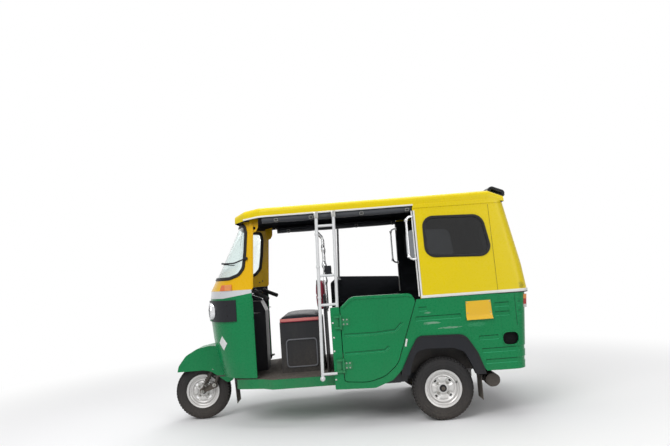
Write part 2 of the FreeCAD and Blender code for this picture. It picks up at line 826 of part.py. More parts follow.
# Front: shield, band, cowl with its window, glass
SHIELD = [
    FrontSection(v["shield_low"], 192, 262, 300, 430, 452, v["apron_end"], 492),
    FrontSection(520, 162, 232, 300, 420, 460, v["apron_end"], 500),
    FrontSection(690, 131, 201, 300, 404, 464, v["apron_end"], 506),
    FrontSection(850, 116, 186, 300, 394, 465, v["apron_end"], 508),
    FrontSection(v["shield_high"], 119, 189, 300, 396, 465, v["apron_end"], 508),
    FrontSection(v["band_high"] - seam, 126, 196, 300, 400, 466, v["apron_end"], 508),
]
BAND_EDGE = [(50, v["shield_high"]), (300, v["shield_high"]),
             (v["apron_end"] + 20, v["band_high"] - 26)]
above_edge = prism(BAND_EDGE + [(v["apron_end"] + 20, v["band_high"] + 50),
                                (50, v["band_high"] + 50)], -600, 1200)
below_edge = prism([(x, z + seam) for x, z in BAND_EDGE] +
                   [(v["apron_end"] + 20, 300), (50, 300)], -600, 1200)
front_sheet = front_shell(SHIELD, skin, ruled=True)
shield = front_sheet.cut(above_edge)
arch = rounded_prism([(-v["arch_half"], 300, 0), (-v["arch_half"], v["arch_high"], 120),
                      (v["arch_half"], v["arch_high"], 120), (v["arch_half"], 300, 0)],
                     50, 300, axis="x")
shield = shield.cut(arch)
keep(made("front_shield", shield), "front_shield")

keep(made("nose_band", front_sheet.cut(below_edge)), "nose_band")

COWL = [
    FrontSection(v["band_high"], 127, 197, 300, 402, 466, 556, 508),
    FrontSection(v["header_high"], 431, 458, 300, 508, 462, 588, 506),
]
cowl = front_shell(COWL, skin, ruled=True)
WINDSCREEN = [(60, 1198, 0), (364, 1198, 60), (446, 1224, 60), (490, 1277, 60), (511, 1406, 400),
              (527, 1568, 30), (516, 1625, 20), (60, 1625, 0)]
opening = rounded_prism(WINDSCREEN, -600, 1200)
cowl = cowl.cut(opening)
pane_outline = inset_outline(WINDSCREEN, seam)
pane = front_shell(COWL, v["glass"], ruled=True)
pane = pane.common(rounded_prism(pane_outline, -600, 1200))
keep(made("front_cowl", cowl), "front_cowl")
keep(made("windscreen", pane), "windscreen")

# Headlamps: a black housing wraps each front corner of the shield
lamp_housing = front_shell(SHIELD[2:5], 14, outward=14, ruled=True)
lamp_housing = lamp_housing.common(Part.makeBox(320, 270, 172, Vector(90, -474, 852)))
lens_at = Vector(178, -300, 934)
lens_axis = unit(Vector(-0.93, -0.28, 0))
socket = rod(lens_at - lens_axis * 60, lens_at + lens_axis * 120, 72)
lamp_housing = lamp_housing.cut(socket)
keep(made("headlamp_housings", both_sides(lamp_housing)), "headlamp_housings")
lens = rod(lens_at - lens_axis * 14, lens_at + lens_axis * 22, 71.7)
keep(made("headlamp_lenses", both_sides(lens.cut(front_shell(SHIELD[2:5], 60, ruled=True)))),
     "headlamp_lenses")
indicator = front_shell(COWL, 12, outward=12, ruled=True).common(
    Part.makeBox(130, 90, 46, Vector(250, -500, v["band_high"] + 2)))
keep(made("indicator_lamps", both_sides(indicator)), "indicator_lamps")

# Inside the front: wheel house, cover of the column and the shelf
house_half = v["arch_half"] + 4
house = Part.makeBox(230, 2 * house_half, 310, Vector(v["floor_front"] - 230 - seam, -house_half,
                                                       v["floor_top"] - 2))
house = house.cut(Part.makeBox(240, 2 * (house_half - skin), 320,
                               Vector(v["floor_front"] - 240 - seam - skin, skin - house_half,
                                      v["floor_top"] - 15)))
house = house.cut(front_shell(SHIELD, 200 + skin + seam, outward=200, ruled=True))
house = house.cut(rod((on_axis(620), 0, 620), (on_axis(740), 0, 740), 42))
keep(made("front_wheelhouse", house), "front_wheelhouse")

# Floor with folded sills, cut away for the front wheel
floor_half = v["floor_half"]
floor_top = v["floor_top"]
wide_half = sill_half
flare_in = v["side_y"] - v["flare_deep"]
FLOOR_SIDE = [(v["floor_front"], 440, 60), (600, 500, 60), (680, floor_half, 60),
              (1172, floor_half, 0), (1172, wide_half, 0), (rear_axle - 323, wide_half, 0),
              (rear_axle - 323, flare_in - seam, 0), (house_front - seam, flare_in - seam, 0),
              (house_front - seam, v["wheel_house_in"] - seam, 0),
              (floor_rear, v["wheel_house_in"] - seam, 0)]


def floor_outline(less):
    """The floor seen from above, its sides moved in by less and its ends left open."""
    half_line = [(x, y - less, r) for x, y, r in FLOOR_SIDE]
    half_line[0] = (half_line[0][0] + less, half_line[0][1], half_line[0][2])
    half_line[3] = (half_line[3][0] + less, half_line[3][1], 0)
    half_line[4] = (half_line[4][0] + less, half_line[4][1], 0)
    for index in (5, 6, 7, 8):
        half_line[index] = (half_line[index][0] - less, half_line[index][1], 0)
    half_line[9] = (half_line[9][0] + less, half_line[9][1], 0)
    return [(x, -y, r) for x, y, r in half_line] + half_line[::-1]


floor = rounded_prism(floor_outline(0), floor_top - v["sill_depth"], v["sill_depth"], axis="z")
hollow = rounded_prism(floor_outline(skin), floor_top - v["sill_depth"] - 1,
                       v["sill_depth"] + 1 - skin, axis="z")
floor = floor.cut(hollow)
floor = floor.cut(rod((462, 0, 300), (462, 0, 420), 25))
keep(made("floor_pan", floor), "floor_pan")

# Roof: an open lid whose section swells from the windscreen header to full width
rail_height = v["roof_rail_low"]
ROOF = [
    RoofSection(438, v["roof_half"] - 138, rail_height - 28, roof_edge - 48, roof_crown - 43),
    RoofSection(525, v["roof_half"] - 55, rail_height - 16, roof_edge - 20, roof_crown - 15),
    RoofSection(660, v["roof_half"], rail_height - 4, roof_edge - 4, roof_crown),
    RoofSection(seam_x + 20, v["roof_half"], rail_height + 4, roof_edge + 4, roof_crown + 4),
    RoofSection(seam_x + 140, v["roof_half"] - 6, rail_height - 10, roof_edge - 46,
                roof_crown - 53),
]
roof = Part.makeLoft([roof_wire(section, 0, 0) for section in ROOF], True, True)
inside = [ROOF[0]._replace(x=ROOF[0].x + skin)] + ROOF[1:-1] + [
    ROOF[-1]._replace(x=ROOF[-1].x - skin)]
roof = roof.cut(Part.makeLoft([roof_wire(section, skin, 20) for section in inside], True, True))
roof = roof.cut(front_shell([COWL[0], COWL[1]], 500, outward=2, ruled=True))
keep(made("roof_panel", roof), "roof_panel")

# Upper rear: the quarter panels with their windows and the back
back_belt = rear_axle + v["belt_overhang"]
UPPER = [
    RearSection(belt + seam, quarter_front, v["side_y"] - 8, back_belt + 22, 90),
    RearSection(belt + 213, quarter_front, v["side_y"] - 21, back_belt - 1, 90),
    RearSection(belt + 559, quarter_front, v["side_y"] - 49, back_belt - 63, 88),
    RearSection(v["roof_rail_low"] - 14, quarter_front, v["roof_half"] + 2, back_belt - 92, 84),
]
upper = rear_shell(UPPER, skin)
upper_glass = rear_shell(UPPER, v["glass"])
SIDE_WINDOW = [(quarter_front + 78, belt + 327, 75), (seam_x - 10, belt + 303, 75),
               (seam_x - 62, belt + 621, 85), (quarter_front + 78, belt + 637, 75)]
BACK_WINDOW = [(-390, belt + 290, 70), (390, belt + 290, 70), (390, belt + 585, 70),
               (-390, belt + 585, 70)]


def window(points, smaller, along):
    outline = inset_outline(points, smaller)
    if along == "y":
        return rounded_prism(outline, -700, 1400)
    return rounded_prism(outline, seam_x + 60, 300, axis="x")


before_seam = Part.makeBox(seam_x - quarter_front + 80 - seam / 2, 1400, 1200,
                           Vector(quarter_front - 80, -700, belt - 35))
behind_seam = Part.makeBox(400, 1400, 1200, Vector(seam_x + seam / 2, -700, belt - 35))
left_half = Part.makeBox(1400, 700, 2400, Vector(quarter_front - 180, -700, 0))
right_half = Part.makeBox(1400, 700, 2400, Vector(quarter_front - 180, 0, 0))
quarters = upper.common(before_seam).cut(window(SIDE_WINDOW, 0, "y"))
keep(made("quarter_upper_left", quarters.common(left_half)), "quarter_upper_left")
keep(made("quarter_upper_right", quarters.common(right_half)), "quarter_upper_right")
back = upper.common(behind_seam).cut(window(BACK_WINDOW, 0, "x"))
keep(made("rear_panel_upper", back), "rear_panel_upper")
keep(made("side_windows", upper_glass.common(before_seam).common(window(SIDE_WINDOW, 0.2, "y"))),
     "side_windows")
keep(made("rear_window", upper_glass.common(window(BACK_WINDOW, 0.2, "x"))), "rear_window")

# Lower rear with the opening of the engine bay
LOWER = [
    RearSection(v["panel_low"], seam_x + seam / 2, v["side_y"], rear_axle + v["low_overhang"],
                95),
    RearSection(belt, seam_x + seam / 2, v["side_y"] - 6, back_belt, 95),
]
ROUND_GROOVES = [belt - 511, belt - 427]
groove_slope = v["swage_deep"] * math.tan(math.radians(v["press_slope"]))


def lower_section(z, inset):
    share = (z - LOWER[0].z) / (LOWER[1].z - LOWER[0].z)
    back = LOWER[0].back + share * (LOWER[1].back - LOWER[0].back)
    side = LOWER[0].side + share * (LOWER[1].side - LOWER[0].side)
    return RearSection(z, LOWER[0].front, side - inset, back - inset, LOWER[0].radius - inset)


pressed = [LOWER[0]]
for z in ROUND_GROOVES:
    half = v["swage_wide"] / 2
    for away, inset in ((-half, 0), (groove_slope - half, v["swage_deep"]),
                        (half - groove_slope, v["swage_deep"]), (half, 0)):
        pressed.append(lower_section(z + away, inset))
pressed.append(LOWER[1])
lower = rear_shell(pressed, skin)


def short_groove(front, rear, z, grow):
    """Hollow of a groove in the leaning side of the rear panel, or with grow its outside."""
    wires = []
    for depth in (-1, v["swage_deep"] + grow):
        less = depth * groove_slope / v["swage_deep"] - 1.6 * grow
        y = depth - lower_section(z, 0).side
        half = v["swage_wide"] / 2 - less
        wires.append(Part.makePolygon([
            Vector(front - 40, y, z - half), Vector(rear - less, y, z - half),
            Vector(rear - less, y, z + half), Vector(front - 40, y, z + half),
            Vector(front - 40, y, z - half)]))
    return Part.makeLoft(wires, True, True)


# The short grooves beside the corner: rear end and height
SHORT_GROOVES = [(seam_x + 81, belt - 86), (seam_x + 79, belt - 155)]
ahead = Part.makeBox(100, 1400, 1000, Vector(seam_x + seam / 2 - 100, -700, 0))
for rear_end, z in SHORT_GROOVES:
    channel = short_groove(seam_x, rear_end, z, skin)
    hollow = short_groove(seam_x, rear_end, z, 0)
    lower = lower.fuse(both_sides(channel.cut(ahead))).cut(both_sides(hollow))
# Air intake in the left side: an oval hole with a collar turned inwards
INTAKE = [(seam_x + 2, 536, 50), (seam_x + 130, 536, 50), (seam_x + 130, 638, 50),
          (seam_x + 2, 638, 50)]
side_at_intake = -lower_section(INTAKE[0][1], 0).side
collar = rounded_prism(inset_outline(INTAKE, -skin), side_at_intake + 4, 26)
lower = lower.fuse(collar).cut(rounded_prism(INTAKE, side_at_intake - 20, 60))
LID = [(-372, v["panel_low"] + 97, 45), (372, v["panel_low"] + 97, 45), (372, belt - 120, 30),
       (-372, belt - 120, 30)]
lower = lower.cut(rounded_prism(LID, seam_x + 70, 300, axis="x"))


def back_face(z):
    """Outer face of the lower back at a height."""
    share = (z - LOWER[0].z) / (LOWER[1].z - LOWER[0].z)
    return LOWER[0].back + share * (LOWER[1].back - LOWER[0].back)


lid_hinge_z = LID[2][1] + 8
lid_hinge_x = back_face(lid_hinge_z) + 9
lid_pins = []
for y in (-240, 240):
    lid_pins.append(rod((lid_hinge_x, y - 46, lid_hinge_z), (lid_hinge_x, y + 46, lid_hinge_z), 3))
    for low_y in (y - 46, y + 32):
        lid_pins.append(prism([(back_face(lid_hinge_z) - 1.5, lid_hinge_z - 6),
                               (lid_hinge_x + 5, lid_hinge_z - 6),
                               (lid_hinge_x + 5, lid_hinge_z + 6),
                               (back_face(lid_hinge_z) - 1, lid_hinge_z + 30)], low_y, 14))
lower = lower.multiFuse(lid_pins)
keep(made("rear_panel_lower", lower), "rear_panel_lower")
lid = rear_shell(pressed, skin).common(
    rounded_prism(inset_outline(LID, gap), seam_x + 70, 300, axis="x"))
lid_hinges = []
for y in (-240, 240):
    knuckle = rod((lid_hinge_x, y - 28, lid_hinge_z), (lid_hinge_x, y + 28, lid_hinge_z), 7)
    leaf = prism([(lid_hinge_x - 3, lid_hinge_z), (lid_hinge_x + 4, lid_hinge_z),
                  (back_face(lid_hinge_z - 70) + 4, lid_hinge_z - 70),
                  (back_face(lid_hinge_z - 70) - 1, lid_hinge_z - 70),
                  (back_face(lid_hinge_z - 20) - 1, lid_hinge_z - 20)], y - 26, 52)
    lid_hinges.append(knuckle.fuse(leaf))
lid = lid.multiFuse(lid_hinges)
lid = lid.cut(rod((lid_hinge_x, -300, lid_hinge_z), (lid_hinge_x, 300, lid_hinge_z),
                  3 + v["running_clearance"]))
LOUVRE_ROWS = [lid_hinge_z - 123 - 34 * row for row in range(5)]
LOUVRE = [(-3, 24), (-1, 24), (9, 4), (9, 0), (-3, 0)]
for z in LOUVRE_ROWS:
    for low_y in (-290, 60):
        hood = prism([(back_face(z) + x, z + up) for x, up in LOUVRE], low_y, 230)
        slot = prism([(back_face(z) + x - 2, z + up - 3) for x, up in LOUVRE], low_y + 2, 226)
        lid = lid.fuse(hood).cut(slot)
keep(made("engine_lid", lid), "engine_lid")

# Lower sides: post, sill strip and ribbed quarter in one sheet, cut for the door and the wheel
DOOR = [(v["door_front"], 354, 20), (1430, 338, 300), (1556, 374, 150), (1662, 460, 150),
        (1836, belt - 5, 50), (1800, belt + 51, 45), (1340, belt + 57, 80),
        (v["door_front"], belt - 21, 12)]
ARCH = [(rear_axle + x, z, r) for x, z, r in [
    (-310, 408, 12), (-232, 556, 120), (-170, 657, 70), (195, 645, 90), (282, 500, 150),
    (318, 390, 30), (340, v["panel_low"] + 1, 0)]]
post_top = belt - 17
POST = [(1172, 297, 8), (v["door_front"] - gap, 297, 0), (v["door_front"] - gap, post_top, 6),
        (1172, post_top, 8)]
door_hole = inset_outline(DOOR, -gap)
rear_edge = (DOOR[4][0] - DOOR[3][0]) / (DOOR[4][1] - DOOR[3][1])
belt_x = DOOR[3][0] + (v["belt"] - DOOR[3][1]) * rear_edge + gap * math.hypot(1, rear_edge)
side_left = [(1172, 297, 8), (1480, 288, 80), (rear_axle - 385, 338, 60)] + ARCH + [
    (seam_x - seam / 2, v["panel_low"], 0), (seam_x - seam / 2, v["belt"], 0),
    (belt_x, v["belt"], 0)] + door_hole[3::-1] + [(v["door_front"] - gap, post_top, 6), (1172, post_top, 8)]
panel = plate("side_left", [side_left], s["side_y"], s["skin"])
post_sketch = draw(panel, "XZ_Plane", s["side_y"], [POST])
inward = s["side_y"] - (s["door_y"] - s["door_thick"] - s["moving_gap"]) - s["seam"]
pad(panel, post_sketch, inward, back=True)
LEDGE = [(v["door_front"] + 2, 306), (1500, 306), (1500, 322), (v["door_front"] + 2, 322)]
ledge_sketch = draw(panel, "XZ_Plane", s["side_y"], [LEDGE])
pad(panel, ledge_sketch, inward, back=True)
# Grooves of the side panels: front end, rear end and height
SWAGES = [(rear_axle - 145, rear_axle - 79, belt - 78), (rear_axle - 176, rear_axle + 180, belt - 150),
          (seam_x - 39, seam_x + 40, SHORT_GROOVES[0][1]),
          (seam_x - 41, seam_x + 40, SHORT_GROOVES[1][1]),
          (house_rear + 10, seam_x - 25, belt - 330),
          (house_rear + 25, seam_x + 40, ROUND_GROOVES[1]),
          (house_rear + 47, seam_x + 40, ROUND_GROOVES[0])]


def groove_outlines():
    half = v["swage_wide"] / 2
    return [[(front, z - half, 4), (rear, z - half, 4), (rear, z + half, 4), (front, z + half, 4)]
            for front, rear, z in SWAGES]


def trim_to_seam(body, outer_y):
    """Grooves that run on into the rear panel end flush with the seam."""
    spare = [(seam_x - seam / 2, v["panel_low"]), (seam_x + 80, v["panel_low"]),
             (seam_x + 80, v["belt"]), (seam_x - seam / 2, v["belt"])]
    pocket(body, draw(body, "XZ_Plane", outer_y, [spare]), 30, back=number(outer_y) < 0)


press(panel, s["side_y"], groove_outlines(), s["swage_deep"])
trim_to_seam(panel, s["side_y"])
keep(panel, "side_panel_left")

side_right = [(1172, 297, 8), (1480, 288, 80), (rear_axle - 385, 338, 60)] + ARCH + [
    (seam_x - seam / 2, v["panel_low"], 0), (seam_x - seam / 2, v["belt"], 0),
    (quarter_front + 6, v["belt"], 0), (quarter_front - 4, belt + 170, 30), (1254, belt + 211, 60),
    (1172, belt + 150, 40)]
panel = new_body("side_right")
sketch = draw(panel, "XZ_Plane", -s["side_y"], [side_right])
pad(panel, sketch, s["skin"])
ledge_sketch = draw(panel, "XZ_Plane", -s["side_y"], [POST, LEDGE])
pad(panel, ledge_sketch, inward)
press(panel, -s["side_y"], groove_outlines(), s["swage_deep"])
trim_to_seam(panel, -s["side_y"])
keep(panel, "side_panel_right")

FLARE_IN = [(256, v["panel_low"] - 20, 6), (231, 401, 60), (180, 512, 70), (96, 548, 70),
            (-100, 556, 70), (-188, 540, 70), (-232, 450, 120), (-252, v["panel_low"] + 10, 6)]
flare_outline = [(rear_axle - 316, v["panel_low"] + 10, 6)] + [
    (x + (0.3 if x < rear_axle else -0.3), z - 0.3, r) for x, z, r in ARCH[:6]] + [
    (rear_axle + 332, v["panel_low"] - 20, 6)] + [(rear_axle + x, z, r) for x, z, r in FLARE_IN]
flare = rounded_prism(flare_outline, -v["side_y"] - 12, 12 + v["flare_deep"])
keep(made("wheel_arch_flares", both_sides(flare)), "wheel_arch_flares")



def band(line, wide):
    """Outline of a strip of one width below a line."""
    below = []
    for index, (x, z) in enumerate(line):
        before = line[max(index - 1, 0)]
        after = line[min(index + 1, len(line) - 1)]
        along = unit(Vector(after[0] - before[0], after[1] - before[1], 0))
        below.append((x + along.y * wide, z - along.x * wide, 0))
    return [(x, z, 0) for x, z in line] + below[::-1]


# Door: a folded pan hung on two barrels at its front edge
door = new_body("door")
skin_sketch = draw(door, "XZ_Plane", s["door_y"], [DOOR])
pad(door, skin_sketch, s["door_thick"], back=True)
inner_sketch = draw(door, "XZ_Plane", s["door_y"] - s["door_thick"],
                    [inset_outline(DOOR, skin)])
hollow = pocket(door, inner_sketch, s["door_thick"] - s["skin"])
DOOR_LINES = [
    [(v["door_front"] + 14, 704), (1505, 702), (1660, 713), (1719, 770)],
    [(v["door_front"] + 14, 564), (1455, 565), (1571, 568), (1604, 596)],
]
press(door, s["door_y"], [band(line, v["crease_wide"]) for line in DOOR_LINES], s["crease_deep"])
keep(door, "door_panel")
hinge_x = v["door_front"] - gap / 2
hinge_y = -v["door_y"] - v["hinge_radius"] - 2
barrels = []
for z in (474, 803):
    barrels.append(rod((hinge_x, hinge_y, z - 32), (hinge_x, hinge_y, z + 32), v["hinge_radius"]))
    barrels.append(Part.makeBox(66, 6, 56, Vector(hinge_x, -v["door_y"] - 6, z - 28)))
hinge_leaves = barrels[0].multiFuse(barrels[1:])
pin_hole = rod((hinge_x, hinge_y, 400), (hinge_x, hinge_y, 900),
               v["hinge_pin"] + v["running_clearance"])
keep(made("door_hinges", hinge_leaves.cut(pin_hole)), "door_hinges")
pins = []
for z in (474, 803):
    pins.append(rod((hinge_x, hinge_y, z - 50), (hinge_x, hinge_y, z + 50), v["hinge_pin"]))
    for low in (z - 50, z + 34):
        pins.append(rod((hinge_x, hinge_y, low), (hinge_x, hinge_y, low + 16), v["hinge_radius"]))
        pins.append(Part.makeBox(52, v["hinge_radius"] + v["door_y"] - v["side_y"] - 1, 16,
                                 Vector(hinge_x - 52, hinge_y + 1, low)))
    pins.append(Part.makeBox(34, 3, 100, Vector(hinge_x - 52, -v["side_y"] - 3, z - 50)))
keep(made("door_hinge_pins", Part.makeCompound(
    [pins[index].multiFuse(pins[index + 1:index + 6]) for index in (0, 6)])), "door_hinge_pins")

# Wheel houses between the side panels and the cabin
house = Part.makeBox(house_rear - house_front,
                     v["side_y"] - skin - v["wheel_house_in"],
                     v["wheel_house_top"] - v["panel_low"],
                     Vector(house_front, -v["side_y"] + skin, v["panel_low"]))
house = house.cut(Part.makeBox(house_rear - house_front - 2 * skin, 300, 400,
                               Vector(house_front + skin, -v["wheel_house_in"] - skin - 300,
                                      v["wheel_house_top"] - skin - 400)))
house = house.cut(rounded_prism([(1600, 200, 0), (2360, 200, 0)] + ARCH[-1:0:-1] + [(1600, 405, 0)],
                                -v["side_y"] - 5, 60))
keep(made("rear_wheelhouses", both_sides(house)), "rear_wheelhouses")

# Seats
seat_box = box("seat_box", s["seat_front"], -s["seat_half"], s["floor_top"],
               s["seat_rear"] - s["seat_front"], s["seat_half"] * 2, s["seat_box_top"] - s["floor_top"])
hatch = box("seat_hatch", s["seat_front"] + 45, -s["seat_half"], s["floor_top"] + 40,
            s["seat_rear"] - s["seat_front"] - 90, 4,
            s["seat_box_top"] - s["floor_top"] - 180)
keep(cut("driver_seat_box", seat_box, hatch), "driver_seat_base")
cushion = box("cushion", s["seat_front"] + 6, -s["seat_half"] - 10, s["seat_box_top"],
              s["seat_rear"] - s["seat_front"] - 20, s["seat_half"] * 2 + 20, s["cushion_thick"])
doc.recompute()
cushion_round = doc.addObject("Part::Fillet", "cushion_round")
cushion_round.Base = cushion
cushion_round.Edges = [(n, 18, 18) for n in upper_edges(cushion.Shape)]
keep(cushion_round, "driver_cushion")
partition_x = v["seat_rear"] + 30
partition = rounded_prism([(-430, v["floor_top"], 0), (430, v["floor_top"], 0), (430, 1010, 90),
                           (-430, 1010, 90)], partition_x, 12, axis="x")
posts = []
for y in (-180, 180):
    posts.append(tube([(partition_x + 23.2, y, 860), (partition_x + 23.2, y, 1500),
                       (partition_x - 26, y, 1560), (partition_x - 26, y, 1780)], 11, 40))
keep(made("partition_panel", partition), "partition_panel")
# Turned swellings of the bars: height and radius
BULGES = [(1120, 17), (1260, 20), (1400, 17)]
for index, y in enumerate((-180, 180)):
    for z, radius in BULGES:
        posts[index] = posts[index].fuse(turned([(11, -34), (radius, -8), (radius, 8), (11, 34)],
                                                Vector(partition_x + 23.2, y, z)))
keep(made("partition_bars", Part.makeCompound(posts)), "partition_bars")
back_rest = Part.makeBox(62, 400, 260, Vector(partition_x - 62, -200, 872))
keep(made("driver_backrest", softened(back_rest, 22)), "driver_backrest")

bench_half = v["bench_half"]
bench_top = v["bench_top"]
bench = Part.makeBox(bench_rear - bench_front, 2 * bench_half, bench_top - rail_top,
                     Vector(bench_front, -bench_half, rail_top))
bench = bench.cut(Part.makeBox(bench_rear - bench_front - 2 * skin, 2 * (bench_half - skin),
                               bench_top - rail_top,
                               Vector(bench_front + skin, skin - bench_half, rail_top - skin)))
keep(made("bench_base", bench), "bench_base")
bench_seat = Part.makeBox(bench_rear - bench_front - 10, 1140, v["bench_cushion"],
                          Vector(bench_front - 6, -570, bench_top))
keep(made("bench_cushion", softened(bench_seat, 30)), "bench_cushion")
seat_top = bench_top + v["bench_cushion"]
lean_back = 82 / 550
wall_x = bench_rear + seam
shelf_z = seat_top + 440
share = (shelf_z - UPPER[1].z) / (UPPER[2].z - UPPER[1].z)
shelf_end = UPPER[1].back + share * (UPPER[2].back - UPPER[1].back) - skin - 30
bulkhead = prism([(wall_x, bench_top - 60), (wall_x + 10, bench_top - 60),
                  (wall_x + 10, seat_top), (wall_x + 10 + 440 * lean_back, seat_top + 440),
                  (shelf_end, seat_top + 440), (shelf_end, seat_top + 448),
                  (wall_x + 448 * lean_back, seat_top + 448), (wall_x, seat_top)], -606, 1212)
keep(made("rear_bulkhead", bulkhead), "rear_bulkhead")
rest = prism([(wall_x - 92, seat_top), (wall_x - seam, seat_top),
              (wall_x - seam + 430 * lean_back, seat_top + 430),
              (wall_x + 430 * lean_back - 74, seat_top + 430)], -560, 1120)
keep(made("bench_backrest", softened(rest, 24)), "bench_backrest")

# Guard on the left, grab handles and rolled curtains
lean_in = v["guard_lean"] / 715


def guard_point(x, z):
    return (x, -v["guard_y"] + (z - 915) * lean_in, z)


guard_top = rail_height - 46
pole_front = [guard_point(1112, guard_top), guard_point(1080, 387)]
pole_rear = [guard_point(1250, guard_top + 4), guard_point(1228, post_top + 0.9)]
guard = [rod(pole_front[0], pole_front[1], v["guard_tube"]),
         rod(pole_rear[0], pole_rear[1], v["guard_tube"])]
for z in (guard_top - 62, belt + 233, belt + 7):
    share = (z - 387) / (guard_top - 387)
    share_rear = (z - post_top) / (guard_top - post_top)
    guard.append(rod(guard_point(1080 + share * 32, z), guard_point(1228 + share_rear * 22, z),
                     v["guard_tube"] - 2.5))
rung = v["guard_tube"] - 2.5
guard.append(rod((1081, -v["side_y"] - rung - seam, 420), (1194, -v["side_y"] - rung - seam, 420),
                 rung))
for x in (1112, 1250):
    guard.append(Part.makeBox(20, 14, 64, Vector(x - 10, -v["roof_half"] - 14 - seam, guard_top - 10)))
guard.append(Part.makeSphere(20, Vector(*pole_front[1])))
keep(made("guard_ladder", guard[0].multiFuse(guard[1:])), "guard_ladder")

handle = tube([(quarter_front - 1.8, 604, 1585), (quarter_front - 58, 622, 1585),
               (quarter_front - 58, 628, 1245), (quarter_front - 1.8, 638, 1245)],
              v["handle_tube"], 40)
keep(made("grab_handles", both_sides(handle)), "grab_handles")

tuck = v["curtain_radius"] - skin
roll_y = v["roof_half"] - skin - tuck
roll_drop = math.sqrt(v["curtain_radius"] ** 2 - tuck ** 2) + seam


def rail_low_at(x):
    share = (x - ROOF[2].x) / (ROOF[3].x - ROOF[2].x)
    return ROOF[2].low + share * (ROOF[3].low - ROOF[2].low)


roll_end = quarter_front - 4
roll = rod((676, -roll_y, rail_low_at(676) - roll_drop),
           (roll_end, -roll_y, rail_low_at(roll_end) - roll_drop), v["curtain_radius"])
keep(made("side_curtain_rolls", both_sides(roll)), "side_curtain_rolls")
roll_front = Vector(seam_x + 76, -520, roof_edge + 16)
roll_back = Vector(seam_x + 148, -520, roof_edge - 14)
roll_radius = 36
across = unit(Vector(roll_front.z - roll_back.z, 0, roll_back.x - roll_front.x)) * roll_radius
middle = prism([(point.x, point.z) for point in (roll_front + across, roll_back + across,
                                                 roll_back - across, roll_front - across)],
               -520, 1040)
rear_roll = middle.multiFuse([rod(point, point + Vector(0, 1040, 0), roll_radius)
                              for point in (roll_front, roll_back)])
rear_roll = rear_roll.cut(Part.makeLoft([roof_wire(section, -0.2, 0) for section in ROOF],
                                        True, True))
keep(made("rear_curtain_roll", rear_roll), "rear_curtain_roll")

# Under the body
engine = Part.makeBox(bench_rear - 20 - rear_axle + 40, 340, 315, Vector(rear_axle - 40, -170, 225))
keep(made("engine_block", engine), "engine_block")
suspension = []
for side in (-1, 1):
    inner_y = v["half_track"] - 45
    axle = v["tyre_radius"]
    parts = [
        tube([(house_front - 96, side * 430, rail_low + 30),
              (house_front - 40, side * 430, rail_low + 30),
              (house_front + 84, side * 446, rail_low + 20),
              (rear_axle - 60, side * 480, axle + 8), (rear_axle, side * 500, axle)], 22, 60),
        rod((rear_axle, side * (inner_y - 46), axle), (rear_axle, side * inner_y, axle), 94),
        rod((rear_axle, side * (inner_y - 10), axle), (rear_axle, side * (v["half_track"] + 38),
                                                       axle), v["spindle_radius"]),
        rod((rear_axle, side * 170, axle), (rear_axle, side * 510, axle), 13),
        rod((rear_axle - 102, side * 462, 290), (rear_axle - 80, side * 462, 420), 24),
        rod((rear_axle - 80, side * 462, 420), (rear_axle - 62, side * 462, 560), 14),
        rod((rear_axle - 64, side * 462, 548),
            (rear_axle - 64, side * (v["wheel_house_in"] - seam), 548), 9),
    ]
    suspension.append(parts[0].multiFuse(parts[1:]))
keep(made("rear_suspension", Part.makeCompound(suspension)), "rear_suspension")
engine_end = bench_rear - 20
exhaust = tube([(engine_end, -120, 290), (engine_end + 70, -120, 290),
                (engine_end + 70, -330, 270)], 16, 40)
muffler = rod((engine_end + 70, -330, 270), (engine_end + 70, -600, 270), 50)
keep(made("exhaust", exhaust.fuse(muffler)), "exhaust")
flap = prism([(-v["side_y"] + 10, 140), (-v["wheel_house_in"] - 5, 140),
              (-v["wheel_house_in"] - 5, 400), (-v["side_y"] + 52, 400),
              (-v["side_y"] + 52, 325), (-v["side_y"] + 10, 325)],
             house_rear + seam, 5, axis="x")
keep(made("rear_mud_flaps", both_sides(flap)), "rear_mud_flaps")
front_flap = prism([(288, 345), (292, 345), (306, 122), (302, 122)], -84, 168)
keep(made("front_mud_flap", front_flap.cut(fender)), "front_mud_flap")


def rear_solid(sections, outset):
    """The whole block inside the back's sheet, grown by outset."""
    wires = []
    for section in sections:
        edges = rear_wire(section, -outset)
        edges.append(Part.makeLine(edges[4].Vertexes[1].Point, edges[0].Vertexes[0].Point))
        wires.append(Part.Wire(Part.sortEdges(edges)[0]))
    return Part.makeLoft(wires, True, True)


lamp = Part.makeBox(260, 88, 100, Vector(seam_x + 80, -628, belt - 123))
lamp = lamp.common(rear_solid(LOWER, 16)).cut(rear_solid(LOWER, seam))
keep(made("tail_lamps", both_sides(lamp)), "tail_lamps")
cover = prism([(452, v["floor_top"]), (590, v["floor_top"]), (596, 900), (560, 985), (470, 985),
               (470, 900)], -105, 210)
cover = cover.cut(prism([(430, v["floor_top"] - 5), (587, v["floor_top"] - 5), (593, 899),
                         (559, 982), (430, 982)], -102, 204))
keep(made("column_cover", cover), "column_cover")
shelf = front_shell([SHIELD[3]._replace(z=900), SHIELD[3]._replace(z=904)], 150, outward=-skin)
keep(made("dash_shelf", shelf), "dash_shelf")

doc.recompute()

for feature in doc.Objects:
    bad = {"Invalid", "Error"} & set(feature.State)
    if bad:
        raise RuntimeError("%s did not build: %s" % (feature.Name, sorted(bad)))
for feature in nodes:
    shape = feature.Shape
    if shape.isNull() or not shape.isValid() or not shape.Solids:
        raise RuntimeError("%s has no valid solid" % feature.Label)

os.makedirs("parts", exist_ok=True)
for feature in nodes:
    feature.Shape.exportStep("parts/%s.step" % feature.Label)
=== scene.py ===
"""Finish of the auto rickshaw: materials, trim, seats, lamps, tread and fittings.

Places are written in millimetres: x rearwards from the front axle, y towards the right side
and z up from the ground, as in the part's source. at() turns them into metres in the frame.
"""

